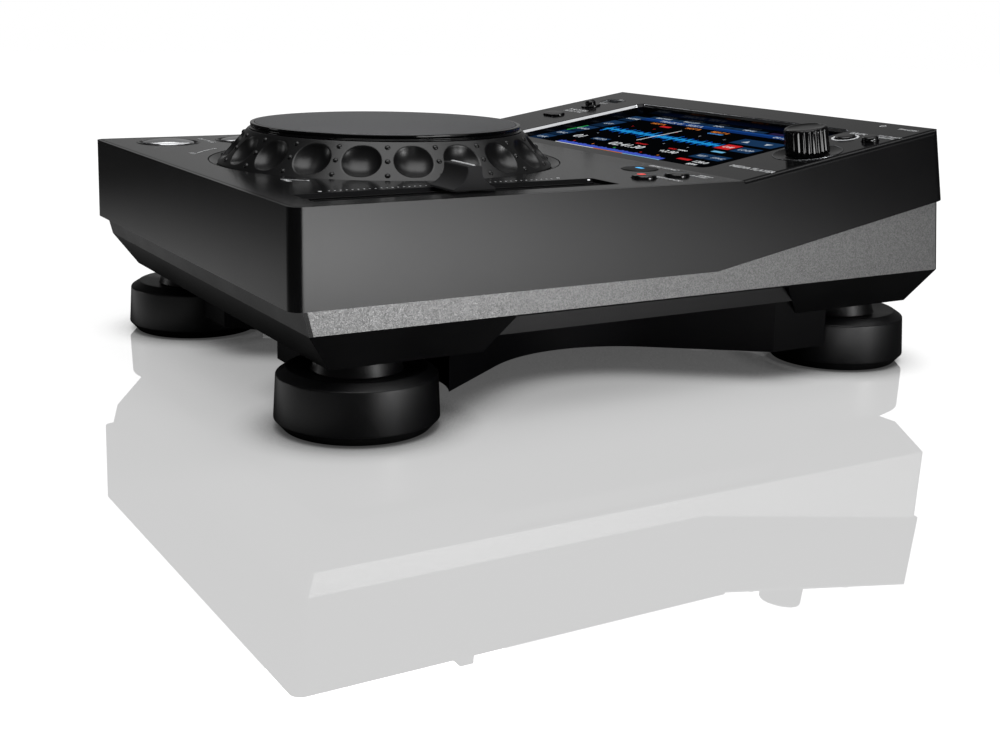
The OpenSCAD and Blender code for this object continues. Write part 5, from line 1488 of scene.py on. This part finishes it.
@dataclass
class Stage:
    """Floor, world, lamps and camera. Lengths of the floor's patterns are in metres."""

    centre: tuple = (548.9, -325.0, 153.6)
    yaw: float = 58.523
    pitch: float = -10.047
    roll: float = 1.305
    focal: float = 1450.464
    middle: tuple = (526.17, 252.44)
    picture: tuple = (1000, 734)
    sensor: float = 36.0
    mirror: float = 1.0
    mirrored: float = 0.46
    shade: float = 0.22
    fill: float = 0.16
    surround: float = 0.08
    glow: float = 0.27
    contact: float = 0.018
    far_start: float = 0.3
    far_end: float = 0.6
    floor_lift: float = 0.42
    cover_reach: float = 0.06
    dim: float = 0.95
    # axis (0 is x, 1 is y), where the card's light is nil and where it is full
    card: float = 18.5
    card_fade: float = 1.6
    card_edges: tuple = ((1, -0.13, -0.08), (0, 0.17, 0.54), (0, 0.95, 0.7))
    front_card: float = 0.62
    front_edges: tuple = ((1, -0.36, -0.23), (1, -0.15, -0.17), (0, -0.6, -0.2), (0, 0.25, 0.1))
    # name, azimuth, elevation, distance in metres, size in metres, watts
    boxes: tuple = (
        ("overhead_box", -30, 78, 1.6, (1.5, 1.5), 21),
        ("right_box", 18, 8, 1.5, (0.4, 0.3), 6.5),
        ("rear_left_box", 163, 34, 1.8, (0.8, 0.35), 1.3),
        ("front_left_strip", -130, 6, 1.5, (0.3, 0.3), 0.8),
        ("right_top_box", 71, 56, 1.5, (0.5, 0.35), 1.2),
    )

    def build(self) -> None:
        """Makes the stage."""
        self.world()
        self.floor()
        self.lamps()
        self.camera()
        bpy.context.scene.view_settings.view_transform = "Standard"

    def seen(self, graph: Graph, glossy: float | Socket, sharp: float, other: float) -> Socket:
        """Gives a light level by the kind of ray.

        Args:
            graph: The node tree.
            glossy: Level for rays off glossy and satin surfaces.
            sharp: Level for rays off a perfect mirror, which only the floor is.
            other: Level for diffuse rays.

        Returns:
            1 for camera and transmission rays, else the given levels.
        """
        ray = graph.add("LightPath").outputs
        off_gloss = graph.mix(ray["Is Singular Ray"], glossy, sharp)
        part = graph.mix(ray["Is Glossy Ray"], other, off_gloss)
        return graph.maths("MAXIMUM", graph.maths("MAXIMUM", ray["Is Camera Ray"], ray["Is Transmission Ray"]), part)

    def toward(self, graph: Graph, azimuth: float, elevation: float, wide: float, narrow: float) -> Socket:
        """Gives a soft round spot in the surround.

        Args:
            graph: The world's tree.
            azimuth: Degrees from +X towards +Y.
            elevation: Degrees above the floor.
            wide: Degrees from the spot's middle at which it ends.
            narrow: Degrees from its middle within which it is full.

        Returns:
            1 in the spot, falling to 0 at its end.
        """
        look = graph.add("TexCoord").outputs["Generated"]
        near = graph.add("VectorMath", {0: look, 1: heading(azimuth, elevation)}, operation="DOT_PRODUCT")
        limits = (math.cos(math.radians(v)) for v in (wide, narrow))
        return graph.ramp(near.outputs["Value"], *limits)

    def world(self) -> None:
        """A white surround for what is seen and for the floor's mirror image. Glossy surfaces see
        a dim room with a glow behind the player's left side, two dark flags and a small bright spot.
        """
        world = bpy.data.worlds.new("studio")
        graph = Graph(world)
        level = graph.ramp(self.toward(graph, 160, 4, 40, 4), 0, 1, self.surround, self.glow)
        for azimuth, wide in ((-140, 62), (62, 45)):
            flag = graph.ramp(self.toward(graph, azimuth, 0, wide, wide / 3), 0, 1, 1, 0.05)
            level = graph.maths("MULTIPLY", level, flag)
        level = graph.maths("ADD", level, self.toward(graph, 34, 9, 16, 8))
        strength = self.seen(graph, level, self.mirror, self.fill)
        light = graph.add("Background", {"Color": grey(1), "Strength": strength})
        graph.add("OutputWorld", {"Surface": light.outputs[0]})
        bpy.context.scene.world = world

    def within(self, graph: Graph, level: Socket | float, spot: object, edges: tuple) -> Socket:
        """Fades a level out over the soft edges of a card.

        Args:
            graph: The node tree.
            level: The light in the card's middle.
            spot: The sockets of x, y and z.
            edges: An axis, where the light is nil and where it is full, for each edge.

        Returns:
            The level at the place that is seen.
        """
        for axis, nil, full in edges:
            level = graph.maths("MULTIPLY", level, graph.ramp(spot[axis], nil, full))
        return level

    def floor(self) -> None:
        """A polished white floor: shadow from its matt share, a mirror image from its gloss, and painted contact shade
        where ambient occlusion darkens it near and under the player.

        Away from the player it turns into plain white. Glossy surfaces see a dark floor with cards.
        """
        acrylic = bpy.data.materials.new("white_acrylic_polished")
        graph = Graph(acrylic)
        near_ao, wide_ao = (
            graph.add("AmbientOcclusion", {"Distance": reach}, samples=8).outputs["AO"]
            for reach in (self.contact, self.cover_reach)
        )
        # ambient occlusion darkens the matt colour and the mirror image near the feet and under the body: painted
        # contact shade
        near_shade = graph.ramp(near_ao, 0.35, 0.95, 0.12)
        unshaded_share = graph.ramp(wide_ao, 0.02, 0.42)
        matt = graph.add("BsdfDiffuse", {"Color": graph.blend(near_shade, grey(0), grey(self.shade))})
        image = graph.blend(unshaded_share, grey(0), grey(self.mirrored))
        gloss = graph.add("BsdfAnisotropic", {"Color": image, "Roughness": 0.0})
        # what the camera sees is lifted, less so near what stands on the floor and under the body: painted contact
        # shade from ambient occlusion
        lifted = graph.maths("MULTIPLY", graph.ramp(unshaded_share, 0, 1, 0.72), near_shade)
        lift = graph.ramp(self.seen(graph, 0.0, 0.0, 0.0), 0, 1, 0, self.floor_lift)
        glow = graph.emission(graph.maths("MULTIPLY", lift, lifted))
        place = graph.add("TexCoord").outputs["Object"]
        reach = graph.length(place)
        away = graph.ramp(reach, self.far_start, self.far_end)
        ground = graph.shaders(away, matt.outputs[0], graph.emission(self.shade))
        both = graph.add("AddShader", {0: ground, 1: gloss.outputs[0]}).outputs[0]
        near = graph.add("AddShader", {0: both, 1: glow}).outputs[0]
        plain = graph.emission(self.seen(graph, 0.1, 0.5, 0.8))
        total = graph.shaders(graph.ramp(reach, 2.0, 3.0), near, plain)
        # a bright card lies on the floor at the right, for glossy surfaces only; it fades to the rear
        spot = graph.add("SeparateXYZ", {0: place}).outputs
        fading = graph.maths("POWER", graph.ramp(spot[1], -0.02, 0.48, 1, 0), self.card_fade)
        card = graph.maths("MULTIPLY", self.within(graph, fading, spot, self.card_edges), self.card)
        # a weaker one lies before the front wall
        front = self.within(graph, self.front_card, spot, self.front_edges)
        dark = graph.emission(graph.maths("ADD", card, front))
        dim = graph.maths("MULTIPLY", graph.add("LightPath").outputs["Is Glossy Ray"], self.dim)
        graph.add("OutputMaterial", {"Surface": graph.shaders(dim, total, dark)})
        mesh = bpy.data.meshes.new("studio_floor")
        mesh.from_pydata([(-40, -40, 0), (40, -40, 0), (40, 40, 0), (-40, 40, 0)], [], [(0, 1, 2, 3)])
        mesh.materials.append(acrylic)
        floor = bpy.data.objects.new("studio_floor", mesh)
        bpy.context.scene.collection.objects.link(floor)

    def lamps(self) -> None:
        """A large soft box overhead, one at the right side and small ones for the gloss."""
        target = Vector((0, 0, 0.06))
        for name, azimuth, elevation, distance, size, power in self.boxes:
            data = bpy.data.lights.new(name, "AREA")
            data.shape = "RECTANGLE"
            data.size, data.size_y = size
            data.energy = power
            lamp = bpy.data.objects.new(name, data)
            way = heading(azimuth, elevation)
            lamp.location = target + way * distance
            lamp.rotation_euler = way.to_track_quat("Z", "Y").to_euler()
            lamp.visible_camera = False
            bpy.context.scene.collection.objects.link(lamp)

    def camera(self) -> None:
        """The camera: its axes follow from yaw, pitch and roll, and its lens from the focal length in pixels."""
        yaw, pitch, roll = (math.radians(v) for v in (self.yaw, self.pitch, self.roll))
        ahead = Vector((-math.sin(yaw) * math.cos(pitch), math.cos(yaw) * math.cos(pitch), math.sin(pitch)))
        right = Vector((math.cos(yaw), math.sin(yaw), 0))
        above = right.cross(ahead)
        rolled_right = right * math.cos(roll) + above * math.sin(roll)
        rolled_above = above * math.cos(roll) - right * math.sin(roll)
        width, height = self.picture
        data = bpy.data.cameras.new("camera")
        data.sensor_width = self.sensor
        data.sensor_fit = "HORIZONTAL"
        data.lens = self.focal * self.sensor / width
        data.shift_x = (width / 2 - self.middle[0]) / width
        data.shift_y = (self.middle[1] - height / 2) / width
        data.clip_start, data.clip_end = 0.01, 100
        camera = bpy.data.objects.new("camera", data)
        turn = Matrix((rolled_right, rolled_above, -ahead)).transposed().to_4x4()
        camera.matrix_world = Matrix.Translation(Vector(self.centre) * MM) @ turn
        bpy.context.scene.collection.objects.link(camera)
        bpy.context.scene.camera = camera


def main() -> None:
    """Builds every sub-assembly and the stage."""
    logging.basicConfig(level=logging.INFO, format="%(message)s")
    carry_nodes()
    for part in (Case(), JogDial(), TempoFader(), DeckControls(), SlopeControls(), Screen(), Rear(), Stage()):
        part.build()
    bpy.context.view_layer.update()


if __name__ == "__main__":
    main()
